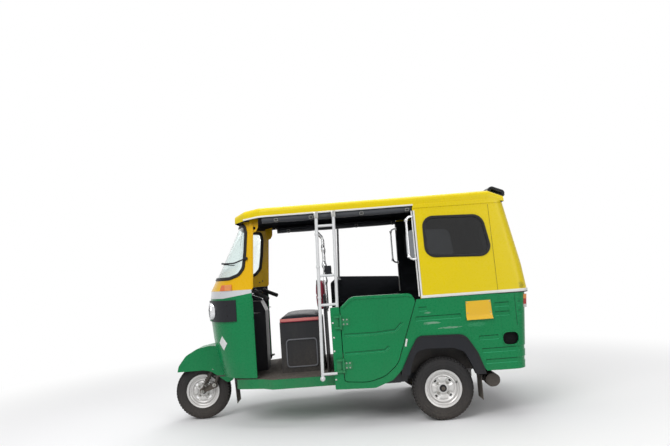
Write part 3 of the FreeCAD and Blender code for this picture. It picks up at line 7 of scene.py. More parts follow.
import json
import math

import bmesh
import bpy
from mathutils import Matrix, Vector, noise
from mathutils.bvhtree import BVHTree


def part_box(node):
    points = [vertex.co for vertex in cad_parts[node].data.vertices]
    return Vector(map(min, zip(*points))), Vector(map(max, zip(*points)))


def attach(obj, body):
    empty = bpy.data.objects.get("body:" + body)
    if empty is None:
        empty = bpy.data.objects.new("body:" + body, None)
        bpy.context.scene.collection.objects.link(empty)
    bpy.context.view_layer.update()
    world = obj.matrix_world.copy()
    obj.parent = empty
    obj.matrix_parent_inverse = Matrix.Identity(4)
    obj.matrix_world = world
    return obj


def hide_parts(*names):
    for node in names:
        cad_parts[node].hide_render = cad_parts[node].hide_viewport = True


bl_info = {
    "name": "Auto Rickshaw Finish",
    "version": (1, 0, 0),
    "blender": (4, 5, 0),
    "location": "View3D > Sidebar > Rickshaw",
    "description": "Materials, trim, seats, lamps, tread and fittings of the auto rickshaw",
    "category": "Object",
}

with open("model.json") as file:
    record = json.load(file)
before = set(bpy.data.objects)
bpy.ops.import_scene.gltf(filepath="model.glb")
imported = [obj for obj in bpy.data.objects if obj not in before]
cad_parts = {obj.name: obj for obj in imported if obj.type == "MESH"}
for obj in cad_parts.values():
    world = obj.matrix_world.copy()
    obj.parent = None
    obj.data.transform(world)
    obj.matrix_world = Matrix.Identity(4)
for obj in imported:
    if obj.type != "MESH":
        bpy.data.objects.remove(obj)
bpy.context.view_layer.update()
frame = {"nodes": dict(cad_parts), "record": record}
NODES = frame["nodes"]
WHEEL_LOW, WHEEL_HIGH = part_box("tyre_front")
AXLE_X = (WHEEL_LOW.x + WHEEL_HIGH.x) / 2
WHEEL_R = (WHEEL_HIGH.z - WHEEL_LOW.z) / 2
REAR_AXLE = (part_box("tyre_rear_left")[0].x + WHEEL_R - AXLE_X) * 1000
SIDE_Y = -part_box("side_panel_left")[0].y * 1000
DOOR_Y = -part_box("door_panel")[0].y * 1000
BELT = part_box("side_panel_left")[1].z * 1000
SIDES = ((-1, "left"), (1, "right"))


def at(x, y, z):
    """A point in the frame, from millimetres behind the front axle, to the right and up."""
    return Vector((AXLE_X + x / 1000, y / 1000, z / 1000))


def colour(name, text, default):
    return bpy.props.FloatVectorProperty(name=name, description=text, default=default,
                                         subtype="COLOR", size=3, min=0, max=1)


def length(name, text, default):
    return bpy.props.FloatProperty(name=name, description=text, default=default,
                                   unit="LENGTH", min=0)


class RickshawColours(bpy.types.PropertyGroup):
    roof: colour("Roof yellow", "Roof, quarters and upper back", (0.74, 0.57, 0.003))
    cowl: colour("Cowl yellow", "Windscreen surround and pillars", (0.78, 0.45, 0.004))
    green: colour("Body green", "Lower panels, door and front fender", (0.003, 0.200, 0.064))
    inside: colour("Inside paint", "Floor, boxes and inner walls", (0.022, 0.023, 0.026))
    cloth: colour("Seat cover", "Driver's cushion and passenger bench", (0.022, 0.024, 0.030))
    red: colour("Backrest red", "Driver's backrest", (0.30, 0.035, 0.06))
    piping: colour("Piping", "Pink band round the driver's cushion", (0.62, 0.20, 0.19))
    curtain: colour("Curtain", "Rolled rain curtains", (0.028, 0.032, 0.040))
    plate: colour("Plate", "Blank number plate", (0.80, 0.48, 0.02))


class RickshawSizes(bpy.types.PropertyGroup):
    seal: length("Window seal", "Width of the rubber round the glass", 0.022)
    tread_depth: length("Tread depth", "Depth of the tyre grooves", 0.007)
    rivet: length("Rivet head", "Across the rivet heads on the roof rail", 0.008)
    piping: length("Piping", "Across the piping of the seat covers", 0.010)
    trim: length("White bead", "Width of the white beading", 0.022)


def sizes():
    return bpy.context.scene.rickshaw_sizes


def colours():
    return bpy.context.scene.rickshaw_colours


# Node groups shared by the materials

def fill(tree, made, inputs):
    """Gives a node its inputs, which are values or other nodes' sockets."""
    for key, value in inputs.items():
        if isinstance(value, bpy.types.NodeSocket):
            tree.links.new(value, made.inputs[key])
        else:
            made.inputs[key].default_value = value


def node(tree, kind, inputs=None, **settings):
    """A new node with its settings and its inputs."""
    made = tree.nodes.new(kind)
    for name, value in settings.items():
        setattr(made, name, value)
    fill(tree, made, inputs or {})
    return made


def node_group(kind, name, inputs, outputs):
    """An empty group with inputs (name, kind, default) and outputs (name, kind)."""
    tree = bpy.data.node_groups.new(name, kind + "NodeTree")
    for label, made_of, default in inputs:
        socket = tree.interface.new_socket(label, in_out="INPUT",
                                           socket_type="NodeSocket" + made_of)
        if default is not None:
            socket.default_value = default
    for label, made_of in outputs:
        tree.interface.new_socket(label, in_out="OUTPUT", socket_type="NodeSocket" + made_of)
    return tree, tree.nodes.new("NodeGroupInput").outputs, tree.nodes.new("NodeGroupOutput")


def maths(tree, operation, first, second=0.0, third=0.0):
    inputs = {0: first, 1: second, 2: third}
    return node(tree, "ShaderNodeMath", inputs, operation=operation).outputs[0]


def spread(tree, value, low, high, new_low=0.0, new_high=1.0):
    made = node(tree, "ShaderNodeMapRange", {"Value": value, "From Min": low, "From Max": high,
                                             "To Min": new_low, "To Max": new_high})
    return made.outputs["Result"]


def noise_at(tree, vector, scale, detail, roughness=0.55):
    return node(tree, "ShaderNodeTexNoise", {"Vector": vector, "Scale": scale, "Detail": detail,
                                             "Roughness": roughness}).outputs["Fac"]


def rgba(shade):
    """A colour with its fourth value. A socket is left as it is."""
    return shade if isinstance(shade, bpy.types.NodeSocket) else (*shade[:3], 1.0)


def mixed(tree, share, first, second):
    """The first colour, which gives way to the second by a share."""
    return node(tree, "ShaderNodeMix", {"Factor": share, 6: rgba(first), 7: rgba(second)},
                data_type="RGBA").outputs[2]


def bump(tree, height, strength, distance):
    return node(tree, "ShaderNodeBump", {"Strength": strength, "Distance": distance,
                                         "Height": height})


def make_weather():
    """Fades a paint in patches and lays road dust on its lower part and in streaks."""
    tree, get, put = node_group("Shader", "Weather", [
        ("Vector", "Vector", None), ("Paint", "Color", (0.5, 0.5, 0.5, 1)),
        ("Dust", "Color", (0.26, 0.22, 0.18, 1)), ("Fade", "Float", 0.1), ("Amount", "Float", 0.5),
        ("Low", "Float", 0.2), ("High", "Float", 0.9), ("Gloss", "Float", 0.3)],
        [("Color", "Color"), ("Roughness", "Float")])
    vector = get["Vector"]
    place = node(tree, "ShaderNodeSeparateXYZ", {0: vector})
    dark = spread(tree, noise_at(tree, vector, 2.3, 4.0, 0.6), 0.3, 0.7, 1.0, 0.0)
    faded = mixed(tree, maths(tree, "MULTIPLY", dark, get["Fade"]), get["Paint"],
                  (0.02, 0.02, 0.02))
    stretched = node(tree, "ShaderNodeMapping", {"Vector": vector, "Scale": (9, 9, 1.2)})
    streaks = noise_at(tree, stretched.outputs[0], 1.0, 5.0, 0.65)
    specks = noise_at(tree, vector, 60.0, 2.0, 0.7)
    high = maths(tree, "ADD", get["High"], spread(tree, streaks, 0.3, 0.7, -0.22, 0.22))
    height = spread(tree, place.outputs["Z"], high, get["Low"])
    height = maths(tree, "MULTIPLY", height, height)
    grain = spread(tree, specks, 0.35, 0.65, 0.55, 1.0)
    mask = maths(tree, "MULTIPLY", maths(tree, "MULTIPLY", height, grain), get["Amount"])
    film = spread(tree, streaks, 0.45, 0.75, 0.0, 0.16)
    mask = maths(tree, "MAXIMUM", mask, maths(tree, "MULTIPLY", film, get["Amount"]))
    rough = maths(tree, "ADD", spread(tree, specks, 0.3, 0.7, -0.03, 0.03), get["Gloss"])
    fill(tree, put, {"Color": mixed(tree, mask, faded, get["Dust"]),
                     "Roughness": maths(tree, "MULTIPLY_ADD", mask, 0.5, rough)})
    return tree


def make_ripple():
    """The faint waviness of sprayed sheet metal and the fine skin of its paint."""
    tree, get, put = node_group("Shader", "Ripple", [
        ("Vector", "Vector", None), ("Peel Scale", "Float", 420.0), ("Wave", "Float", 0.5),
        ("Peel", "Float", 0.5)], [("Normal", "Vector")])
    slow = noise_at(tree, get["Vector"], 7.0, 1.0, 0.5)
    fine = noise_at(tree, get["Vector"], get["Peel Scale"], 1.0, 0.5)
    first = bump(tree, slow, get["Wave"], 0.004)
    second = bump(tree, fine, get["Peel"], 0.0002)
    fill(tree, second, {"Normal": first.outputs[0]})
    fill(tree, put, {"Normal": second.outputs[0]})
    return tree


def make_grain():
    """Leathercloth: small cells with creases between them."""
    tree, get, put = node_group("Shader", "Grain", [
        ("Vector", "Vector", None), ("Scale", "Float", 380.0), ("Depth", "Float", 0.5)],
        [("Normal", "Vector"), ("Cell", "Float")])
    cell = node(tree, "ShaderNodeTexVoronoi", {"Vector": get["Vector"], "Scale": get["Scale"]},
                feature="DISTANCE_TO_EDGE").outputs["Distance"]
    folds = noise_at(tree, get["Vector"], 26.0, 3.0)
    height = maths(tree, "MULTIPLY_ADD", folds, 2.5, spread(tree, cell, 0.0, 0.25))
    fill(tree, put, {"Normal": bump(tree, height, get["Depth"], 0.0006).outputs[0], "Cell": cell})
    return tree


def make_weave():
    """Crossed threads of coated cloth."""
    tree, get, put = node_group("Shader", "Weave", [
        ("Vector", "Vector", None), ("Scale", "Float", 500.0), ("Depth", "Float", 0.5)],
        [("Normal", "Vector"), ("Thread", "Float")])
    place = {"Vector": get["Vector"], "Scale": get["Scale"]}
    across, along = (node(tree, "ShaderNodeTexWave", place,
                          bands_direction=direction).outputs["Fac"] for direction in "XZ")
    thread = maths(tree, "MAXIMUM", across, along)
    creases = noise_at(tree, get["Vector"], 34.0, 3.0)
    height = maths(tree, "MULTIPLY_ADD", creases, 6.0, thread)
    fill(tree, put, {"Normal": bump(tree, height, get["Depth"], 0.0008).outputs[0],
                     "Thread": thread})
    return tree


def make_wear():
    """Scratches and chips, as a mask."""
    tree, get, put = node_group("Shader", "Wear", [
        ("Vector", "Vector", None), ("Amount", "Float", 0.5)], [("Mask", "Float")])
    vector = get["Vector"]
    long = node(tree, "ShaderNodeMapping", {"Vector": vector, "Scale": (0.35, 1, 4),
                                            "Rotation": (0.2, 0.5, 0.3)})
    scratches = spread(tree, noise_at(tree, long.outputs[0], 18.0, 6.0, 0.75), 0.62, 0.72)
    chips = spread(tree, noise_at(tree, vector, 90.0, 4.0, 0.7), 0.68, 0.72)
    mask = maths(tree, "MAXIMUM", scratches, chips)
    fill(tree, put, {"Mask": maths(tree, "MULTIPLY", mask, get["Amount"])})
    return tree


def make_scuff():
    """A rubbed patch round one place: streaks that thin out towards its rim, as a mask."""
    tree, get, put = node_group("Shader", "Scuff", [
        ("Vector", "Vector", None), ("Centre", "Vector", (0, 0, 0)), ("Reach", "Vector", (1, 1, 1)),
        ("Scale", "Float", 60.0), ("Amount", "Float", 0.8)], [("Mask", "Float")])
    offset = node(tree, "ShaderNodeVectorMath", {0: get["Vector"], 1: get["Centre"]},
                  operation="SUBTRACT").outputs[0]
    ratio = node(tree, "ShaderNodeVectorMath", {0: offset, 1: get["Reach"]},
                 operation="DIVIDE").outputs[0]
    away = node(tree, "ShaderNodeVectorMath", {0: ratio}, operation="LENGTH").outputs["Value"]
    falloff = spread(tree, away, 1.0, 0.35)
    long = node(tree, "ShaderNodeMapping", {"Vector": get["Vector"], "Rotation": (0, 0.12, 0),
                                            "Scale": (0.4, 1, 2.4)})
    streaks = noise_at(tree, long.outputs[0], get["Scale"], 5.0, 0.7)
    level = maths(tree, "MULTIPLY_ADD", falloff, 0.34, streaks)
    mask = maths(tree, "MULTIPLY", spread(tree, level, 0.74, 0.92), falloff)
    mask = maths(tree, "MULTIPLY", mask, 2.0)
    fill(tree, put, {"Mask": maths(tree, "MINIMUM", mask, get["Amount"])})
    return tree


GROUP_MAKERS = {"Weather": make_weather, "Ripple": make_ripple, "Grain": make_grain,
                "Weave": make_weave, "Wear": make_wear, "Scuff": make_scuff}
GROUPS = {}


def use_group(tree, name, inputs):
    if name not in GROUPS:
        GROUPS[name] = GROUP_MAKERS[name]()
    return node(tree, "ShaderNodeGroup", inputs, node_tree=GROUPS[name]).outputs


# Materials

def material(name):
    """An empty material: its tree, its Principled shader and the object's own coordinates."""
    made = bpy.data.materials.new(name)
    made.use_nodes = True
    tree = made.node_tree
    shader = tree.nodes["Principled BSDF"]
    vector = tree.nodes.new("ShaderNodeTexCoord").outputs["Object"]
    return made, tree, shader, vector


def weathered(tree, vector, base, fade, dust, low, high, gloss):
    return use_group(tree, "Weather", {"Vector": vector, "Paint": rgba(base), "Fade": fade,
                                       "Amount": dust, "Low": low, "High": high, "Gloss": gloss})


def painted(name, base, dust, gloss=0.28, coat=0.35, fade=0.12, low=0.15, high=0.75, metallic=0.0,
            wear=0.0, bare=(0.18, 0.17, 0.16), marks=(), beyond=None):
    """Sprayed paint with fading, road dust and a little waviness.

    wear chips it down to bare. marks are rubbed patches. beyond is an x in millimetres, from
    which on the paint is another, and that paint's colour.
    """
    made, tree, shader, vector = material(name)
    weather = weathered(tree, vector, base, fade, dust, low, high, gloss)
    colour_here = weather["Color"]
    if wear:
        mask = use_group(tree, "Wear", {"Vector": vector, "Amount": wear})["Mask"]
        colour_here = mixed(tree, mask, colour_here, bare)
    for centre, reach, shade, amount, scale in marks:
        mask = use_group(tree, "Scuff", {"Vector": vector, "Centre": at(*centre),
                                         "Reach": Vector(reach) / 1000, "Scale": scale,
                                         "Amount": amount})["Mask"]
        colour_here = mixed(tree, mask, colour_here, shade)
    if beyond:
        place = node(tree, "ShaderNodeSeparateXYZ", {0: vector}).outputs["X"]
        edge = at(beyond[0], 0, 0).x
        colour_here = mixed(tree, spread(tree, place, edge, edge + 0.004), colour_here, beyond[1])
    ripple = use_group(tree, "Ripple", {"Vector": vector, "Wave": 0.25, "Peel": 0.4})
    fill(tree, shader, {"Base Color": colour_here, "Roughness": weather["Roughness"],
                        "Normal": ripple["Normal"], "Metallic": metallic,
                        "Specular IOR Level": 0.2, "Coat Weight": coat, "Coat Roughness": 0.08})
    return made


def covered(name, base, scale=380.0, depth=0.35, gloss=0.45, dust=0.12):
    """Leathercloth over foam, paler in its creases."""
    made, tree, shader, vector = material(name)
    grain = use_group(tree, "Grain", {"Vector": vector, "Scale": scale, "Depth": depth})
    weather = weathered(tree, vector, base, 0.25, dust, 0.3, 1.5, gloss)
    lighter = [min(1.0, c * 1.7 + 0.004) for c in base]
    creases = spread(tree, grain["Cell"], 0.0, 0.12, 0.5, 0.0)
    fill(tree, shader, {"Base Color": mixed(tree, creases, weather["Color"], lighter),
                        "Roughness": weather["Roughness"], "Normal": grain["Normal"],
                        "Specular IOR Level": 0.05})
    return made


def clothed(name, base, scale=420.0):
    """Coated canvas with paler threads."""
    made, tree, shader, vector = material(name)
    weave = use_group(tree, "Weave", {"Vector": vector, "Scale": scale, "Depth": 0.5})
    weather = weathered(tree, vector, base, 0.3, 0.3, 0.6, 2.1, 0.62)
    lighter = [min(1.0, c * 1.8 + 0.01) for c in base]
    thread = spread(tree, weave["Thread"], 0.2, 1.0, 0.0, 0.35)
    fill(tree, shader, {"Base Color": mixed(tree, thread, weather["Color"], lighter),
                        "Roughness": weather["Roughness"], "Normal": weave["Normal"],
                        "Sheen Weight": 0.15})
    return made


def moulded(name, base, gloss, dust, low=0.1, high=0.7, scale=900.0, depth=0.3, metallic=0.0):
    """Rubber, plastic or cast metal with a fine moulded skin."""
    made, tree, shader, vector = material(name)
    weather = weathered(tree, vector, base, 0.2, dust, low, high, gloss)
    ripple = use_group(tree, "Ripple", {"Vector": vector, "Wave": 0.1, "Peel": depth,
                                        "Peel Scale": scale})
    fill(tree, shader, {"Base Color": weather["Color"], "Roughness": weather["Roughness"],
                        "Normal": ripple["Normal"], "Metallic": metallic})
    if not metallic:
        fill(tree, shader, {"Specular IOR Level": 0.2})
    return made


def clear(name, base, roughness=0.02):
    """Glass, with a dust film at its lower edge that dulls it slightly."""
    made, tree, shader, vector = material(name)
    film = weathered(tree, vector, base, 0.0, 0.10, 0.9, 1.5, roughness + 0.03)
    fill(tree, shader, {"Base Color": film["Color"], "Roughness": film["Roughness"],
                        "Transmission Weight": 1.0, "IOR": 1.45})
    return made


def lens(name, base, emission):
    """Coloured lamp plastic with moulded flutes."""
    made, tree, shader, vector = material(name)
    wave = node(tree, "ShaderNodeTexWave", {"Vector": vector, "Scale": 42.0},
                bands_direction="X").outputs["Fac"]
    colour_here = mixed(tree, wave, [c * 0.55 for c in base], base)
    fill(tree, shader, {"Base Color": colour_here, "Emission Color": colour_here,
                        "Emission Strength": emission, "Roughness": 0.12, "Coat Weight": 0.3,
                        "Normal": bump(tree, wave, 0.5, 0.002).outputs[0]})
    return made


MATERIALS = {}


PALE = (0.50, 0.56, 0.52)

# Rubbed patches: centre and reach in mm, colour, strength, grain
PALE_MARKS = [
    ((1945, -665, 746), (120, 60, 17), PALE, 0.35, 100.0),
    ((1925, -665, 826), (48, 60, 11), PALE, 0.28, 120.0),
    ((2290, -665, 712), (140, 60, 30), (0.06, 0.30, 0.15), 0.4, 75.0),
    ((2085, -665, 702), (160, 60, 12), PALE, 0.3, 110.0),
]
DARK_MARKS = [((2672, -648, 985), (44, 60, 48), (0.10, 0.085, 0.02), 0.5, 120.0)]

# Nodes whose paint differs from that of their slot
ALSO_PAINTED = {"side_windows": "smoked_glass", "rear_window": "smoked_glass",
                "floor_pan": "sill_paint"}


def make_materials():
    c = colours()
    made = {
        "yellow_paint": painted("Roof yellow", c.roof, dust=0.05, low=0.8, high=1.35, fade=0.05,
                                coat=0.05, marks=DARK_MARKS),
        "cowl_paint": painted("Cowl yellow", c.cowl, dust=0.05, low=0.9, high=1.3, fade=0.05,
                              coat=0.05),
        "green_paint": painted("Body green", c.green, dust=0.07, low=0.12, high=0.62, fade=0.12,
                               coat=0.05, marks=PALE_MARKS),
        "silver_band": painted("Silver band", (0.58, 0.59, 0.61), gloss=0.3, metallic=0.75,
                               dust=0.12, wear=0.25),
        "floor_paint": painted("Inside black", c.inside, gloss=0.5, coat=0.05, dust=0.4,
                               low=0.2, high=0.9, wear=0.35, bare=(0.10, 0.09, 0.085)),
        "black_plastic": moulded("Black plastic", (0.013, 0.014, 0.018), gloss=0.45, dust=0.10),
        "lining": covered("Roof lining", c.cloth, scale=300.0, depth=0.25, gloss=0.6, dust=0.05),
        "smoked_glass": clear("Smoked glass", (0.075, 0.08, 0.085)),
        # Darker copies of the green and the yellow, laid along the pressed lines and seams as
        # painted shadow, and a lighter green laid along the pressed lines as painted highlight.
        "groove_painted_shadow": painted("Groove painted shadow", (0.002, 0.05, 0.02), gloss=0.6, dust=0.1, coat=0.0),
        "groove_worn": painted("Groove painted highlight", (0.03, 0.36, 0.16), gloss=0.35, dust=0.05, coat=0.1),
        "seam_painted_shadow": painted("Seam painted shadow", (0.20, 0.14, 0.01), gloss=0.6, dust=0.1, coat=0.0),
        # Lighter grey of the bead round the seat box's hatch: a painted highlight on the hatch's
        # rim.
        "hatch_highlight_grey": moulded("Hatch edging highlight", (0.17, 0.175, 0.19), gloss=0.4, dust=0.1),
        "sill_paint": painted("Sill green", c.green, dust=0.2, low=0.12, high=0.62, fade=0.3,
                              coat=0.1, beyond=(1176, c.inside)),
        "frame_paint": painted("Frame black", (0.018, 0.018, 0.02), gloss=0.5, coat=0.0,
                               dust=0.75, low=0.1, high=0.7, wear=0.4, bare=(0.12, 0.07, 0.045)),
        "lamp_glass": clear("Lamp glass", (0.92, 0.94, 0.95)),
        "indicator_glass": lens("Indicator amber", (0.80, 0.15, 0.006), 0.06),
        "pale_amber": lens("Pale amber", (0.86, 0.30, 0.07), 0.06),
        "clear_lens": lens("Clear lens", (0.66, 0.64, 0.62), 0.02),
        "tail_glass": lens("Tail red", (0.42, 0.012, 0.012), 0.05),
        "window_glass": clear("Window glass", (0.86, 0.93, 0.92)),
        "tyre_rubber": moulded("Tyre rubber", (0.026, 0.025, 0.026), gloss=0.72, dust=0.30,
                               low=-0.1, high=0.50, scale=500.0, depth=0.5),
        "rim_silver": painted("Wheel silver", (0.66, 0.65, 0.64), gloss=0.30, coat=0.1,
                              metallic=0.45, dust=0.30, low=0.05, high=0.5, wear=0.3,
                              bare=(0.10, 0.085, 0.075)),
        "white_tube": painted("Guard white", (0.70, 0.71, 0.72), gloss=0.25, coat=0.3, dust=0.25,
                              wear=0.3, bare=(0.30, 0.28, 0.26)),
        "bright_tube": moulded("Bright steel", (0.76, 0.76, 0.77), gloss=0.20, dust=0.10,
                               metallic=0.75, depth=0.1),
        "hinge_green": painted("Hinge green", c.green, dust=0.3, wear=0.25),
        "seat_cloth": covered("Cushion cover black", c.cloth),
        "red_cloth": covered("Backrest cover red", c.red),
        "curtain_cloth": clothed("Curtain canvas", c.curtain),
        "engine_metal": moulded("Cast alloy", (0.30, 0.30, 0.31), gloss=0.5, dust=0.6,
                                metallic=0.8, scale=260.0, depth=0.6),
        "exhaust_metal": painted("Exhaust steel", (0.055, 0.050, 0.047), gloss=0.6, coat=0.0,
                                 metallic=0.4, dust=0.3, wear=0.5, bare=(0.14, 0.06, 0.03)),
        "flap_rubber": moulded("Flap rubber", (0.02, 0.02, 0.021), gloss=0.65, dust=0.6),
        "seal": moulded("Window rubber", (0.012, 0.012, 0.013), gloss=0.5, dust=0.12),
        "chrome": moulded("Chrome", (0.80, 0.80, 0.82), gloss=0.08, dust=0.08, metallic=1.0,
                          depth=0.05),
        "bead": painted("Beading white", (0.78, 0.78, 0.76), gloss=0.3, dust=0.25, low=0.7,
                        high=1.2, coat=0.1),
        "plate": painted("Plate yellow", c.plate, gloss=0.4, dust=0.25, low=0.5, high=1.0),
        "sticker": painted("Label white", (0.74, 0.75, 0.74), gloss=0.35, dust=0.2, low=0.3,
                           high=0.9),
        "zinc": moulded("Zinc plate", (0.42, 0.42, 0.40), gloss=0.38, dust=0.35, metallic=0.9),
        "reflector": moulded("Lamp reflector", (0.85, 0.86, 0.88), gloss=0.12, dust=0.0,
                             metallic=1.0, depth=0.0),
        "bulb": clear("Bulb glass", (0.95, 0.93, 0.85), 0.05),
        # Near black for the intake's slats, and painted shade inside the intake and in the holes of
        # the pillar brackets.
        "hole": moulded("Dark hollow", (0.004, 0.004, 0.005), gloss=0.8, dust=0.0),
        "piping": covered("Piping", c.piping, scale=700.0, depth=0.2),
        "mat": moulded("Floor rubber", (0.03, 0.03, 0.031), gloss=0.7, dust=0.7, low=0.2,
                       high=0.9),
        "grip": moulded("Grip rubber", (0.014, 0.014, 0.015), gloss=0.6, dust=0.1),
        "dial": moulded("Dial face", (0.6, 0.6, 0.58), gloss=0.3, dust=0.0),
        "webbing": clothed("Strap webbing", (0.018, 0.019, 0.022), scale=700.0),
    }
    MATERIALS.update(made)


def dress_frame():
    """Each CAD node gets the material of its slot."""
    for part in frame["record"]["subparts"]:
        mesh = NODES[part["node"]].data
        mesh.materials.clear()
        key = ALSO_PAINTED.get(part["node"], part["material_slot"])
        mesh.materials.append(MATERIALS[key])


# Mesh tools

def placed(name, mesh):
    """A new object in the scene."""
    piece = bpy.data.objects.new(name, mesh)
    bpy.context.scene.collection.objects.link(piece)
    return piece


def settle(piece):
    """Replaces the piece's mesh by what its modifiers make of it."""
    graph = bpy.context.evaluated_depsgraph_get()
    made = bpy.data.meshes.new_from_object(piece.evaluated_get(graph))
    piece.modifiers.clear()
    piece.data = made
    return piece


def mesh_of(name, shape):
    """A mesh from a bmesh, which is used up."""
    mesh = bpy.data.meshes.new(name)
    shape.to_mesh(mesh)
    shape.free()
    return mesh


def finish_piece(name, shape, key, slot=None, body="body", smooth=40, replaces=()):
    """A mesh in place in the frame. slot is not used."""
    mesh = mesh_of(name, shape)
    mesh.materials.append(MATERIALS[key])
    if smooth:
        mesh.shade_smooth()
        mesh.set_sharp_from_angle(angle=math.radians(smooth))
    piece = placed(name, mesh)
    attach(piece, body)
    if replaces:
        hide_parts(*replaces)
    return piece


def face_out(shape):
    bmesh.ops.remove_doubles(shape, verts=shape.verts, dist=1e-6)
    bmesh.ops.recalc_face_normals(shape, faces=shape.faces)


def closed_piece(name, shape, *rest, **more):
    """A piece whose walls are closed: welded, with its faces outward."""
    face_out(shape)
    return finish_piece(name, shape, *rest, **more)


def face_out_mesh(mesh, outward):
    """Turns an open sheet so that its faces look outward."""
    shape = bmesh.new()
    shape.from_mesh(mesh)
    bmesh.ops.recalc_face_normals(shape, faces=shape.faces)
    if sum(face.normal.dot(outward) * face.calc_area() for face in shape.faces) < 0:
        bmesh.ops.reverse_faces(shape, faces=shape.faces)
    shape.to_mesh(mesh)
    shape.free()


def spaced(first, last, count):
    """Even values from first to last."""
    return [first + (last - first) * i / (count - 1) for i in range(count)]


def circle(radius, count):
    return [(radius * math.cos(2 * math.pi * i / count), radius * math.sin(2 * math.pi * i / count))
            for i in range(count)]


def rounded_bar(width, height, corner, steps):
    """A section with round corners: width across, height up, from its middle."""
    radius = min(width, height) * corner
    outline = []
    for turn, (cx, cy) in enumerate([(1, 1), (-1, 1), (-1, -1), (1, -1)]):
        for step in range(steps + 1):
            angle = math.pi / 2 * (turn + step / steps)
            outline.append((cx * (width / 2 - radius) + radius * math.cos(angle),
                            cy * (height / 2 - radius) + radius * math.sin(angle)))
    return outline


def round_corners(points, radius, steps, closed=False):
    """The same path with its corners turned into arcs."""
    points = [Vector(p) for p in points]
    count = len(points)
    path = []
    for i, here in enumerate(points):
        if not closed and i in (0, count - 1):
            path.append(here)
            continue
        before = points[i - 1] - here
        after = points[(i + 1) % count] - here
        reach = min(radius, before.length * 0.49, after.length * 0.49)
        start = here + before.normalized() * reach
        end = here + after.normalized() * reach
        for step in range(steps + 1):
            t = step / steps
            path.append(start * (1 - t) ** 2 + here * 2 * t * (1 - t) + end * t * t)
    return path


def sweep(shape, path, section, closed=False, up=(0, 0, 1), scales=None):
    """Carries a closed section (across, up) along a path. up is one direction or one a point."""
    path = [Vector(p) for p in path]
    count = len(path)
    rings = []
    for i, here in enumerate(path):
        ahead = path[(i + 1) % count] if closed or i < count - 1 else here
        behind = path[i - 1] if closed or i > 0 else here
        along = (ahead - behind).normalized()
        raised = Vector(up[i]) if isinstance(up, list) else Vector(up)
        side = along.cross(raised)
        if side.length < 1e-4:
            side = along.cross(Vector((1, 0, 0)))
        side.normalize()
        raised = side.cross(along)
        scale = scales[i] if scales else 1.0
        rings.append([shape.verts.new(here + (side * a + raised * b) * scale)
                      for a, b in section])
    bridge(shape, rings, closed)
    if not closed:
        cap_ends(shape, rings)


def bridge(shape, rings, closed=False):
    """Walls between rings of the same number of points."""
    for first, second in zip(rings, rings[1:] + rings[:1] if closed else rings[1:]):
        for j in range(len(first)):
            k = (j + 1) % len(first)
            shape.faces.new((first[j], first[k], second[k], second[j]))


def cap_ends(shape, rings):
    shape.faces.new(rings[0][::-1])
    shape.faces.new(rings[-1])


def swept_piece(name, path, section, key, slot=None, body="body", closed=False, up=(0, 0, 1),
                smooth=40):
    """A piece that is one section carried along a path."""
    shape = bmesh.new()
    sweep(shape, path, section, closed=closed, up=up)
    return closed_piece(name, shape, key, slot, body, smooth)


def axes_for(axis):
    """The axis and two directions square to it."""
    axis = Vector(axis).normalized()
    helper = Vector((0, 0, 1)) if abs(axis.z) < 0.9 else Vector((1, 0, 0))
    first = axis.cross(helper).normalized()
    return axis, first, axis.cross(first).normalized()


def lathe(shape, profile, centre, axis, steps, closed):
    """Turns a profile of (radius, distance along the axis) round an axis."""
    axis, first, second = axes_for(axis)
    centre = Vector(centre)
    rings = []
    for radius, along in profile:
        if radius < 1e-6:
            rings.append([shape.verts.new(centre + axis * along)])
            continue
        ring = []
        for i in range(steps):
            angle = 2 * math.pi * i / steps
            ring.append(shape.verts.new(centre + axis * along + radius * (
                first * math.cos(angle) + second * math.sin(angle))))
        rings.append(ring)
    for low, high in zip(rings, rings[1:] + rings[:1] if closed else rings[1:]):
        for i in range(steps):
            k = (i + 1) % steps
            if len(low) == len(high) == 1:
                continue
            if len(low) == 1:
                shape.faces.new((low[0], high[k], high[i]))
            elif len(high) == 1:
                shape.faces.new((low[i], low[k], high[0]))
            else:
                shape.faces.new((low[i], low[k], high[k], high[i]))
    if not closed:
        for ring in (rings[0][::-1], rings[-1]):
            if len(ring) > 1:
                shape.faces.new(ring)


def turned(shape, centre, axis, profile, steps=20, closed=False):
    """Turns a profile that is given in millimetres."""
    lathe(shape, [(r / 1000, d / 1000) for r, d in profile], centre, axis, steps, closed)


def turned_piece(name, centre, axis, profile, steps, key, slot, body="body"):
    shape = bmesh.new()
    turned(shape, centre, axis, profile, steps)
    return closed_piece(name, shape, key, slot, body)


def block(shape, low, high, bevel, steps=2):
    """A box with rounded edges between two corners."""
    made = bmesh.new()
    bmesh.ops.create_cube(made, size=1.0)
    for vert in made.verts:
        for k in range(3):
            vert.co[k] = low[k] if vert.co[k] < 0 else high[k]
    if bevel:
        bmesh.ops.bevel(made, geom=list(made.edges), offset=bevel, segments=steps, profile=0.5,
                        affect="EDGES")
    mesh = mesh_of("part", made)
    shape.from_mesh(mesh)
    bpy.data.meshes.remove(mesh)


def slab(shape, outline, low, high, bevel):
    """A flat piece: outline points (Vector) and the two offsets that give its thickness."""
    low, high = Vector(low), Vector(high)
    first = [shape.verts.new(Vector(p) + low) for p in outline]
    second = [shape.verts.new(Vector(p) + high) for p in outline]
    count = len(outline)
    faces = [shape.faces.new(first[::-1]), shape.faces.new(second)]
    for i in range(count):
        k = (i + 1) % count
        faces.append(shape.faces.new((first[i], first[k], second[k], second[i])))
    bmesh.ops.recalc_face_normals(shape, faces=faces)
    edges = [e for e in faces[1].edges] + [e for e in faces[0].edges]
    bmesh.ops.bevel(shape, geom=edges, offset=bevel, segments=2, profile=0.5, affect="EDGES")


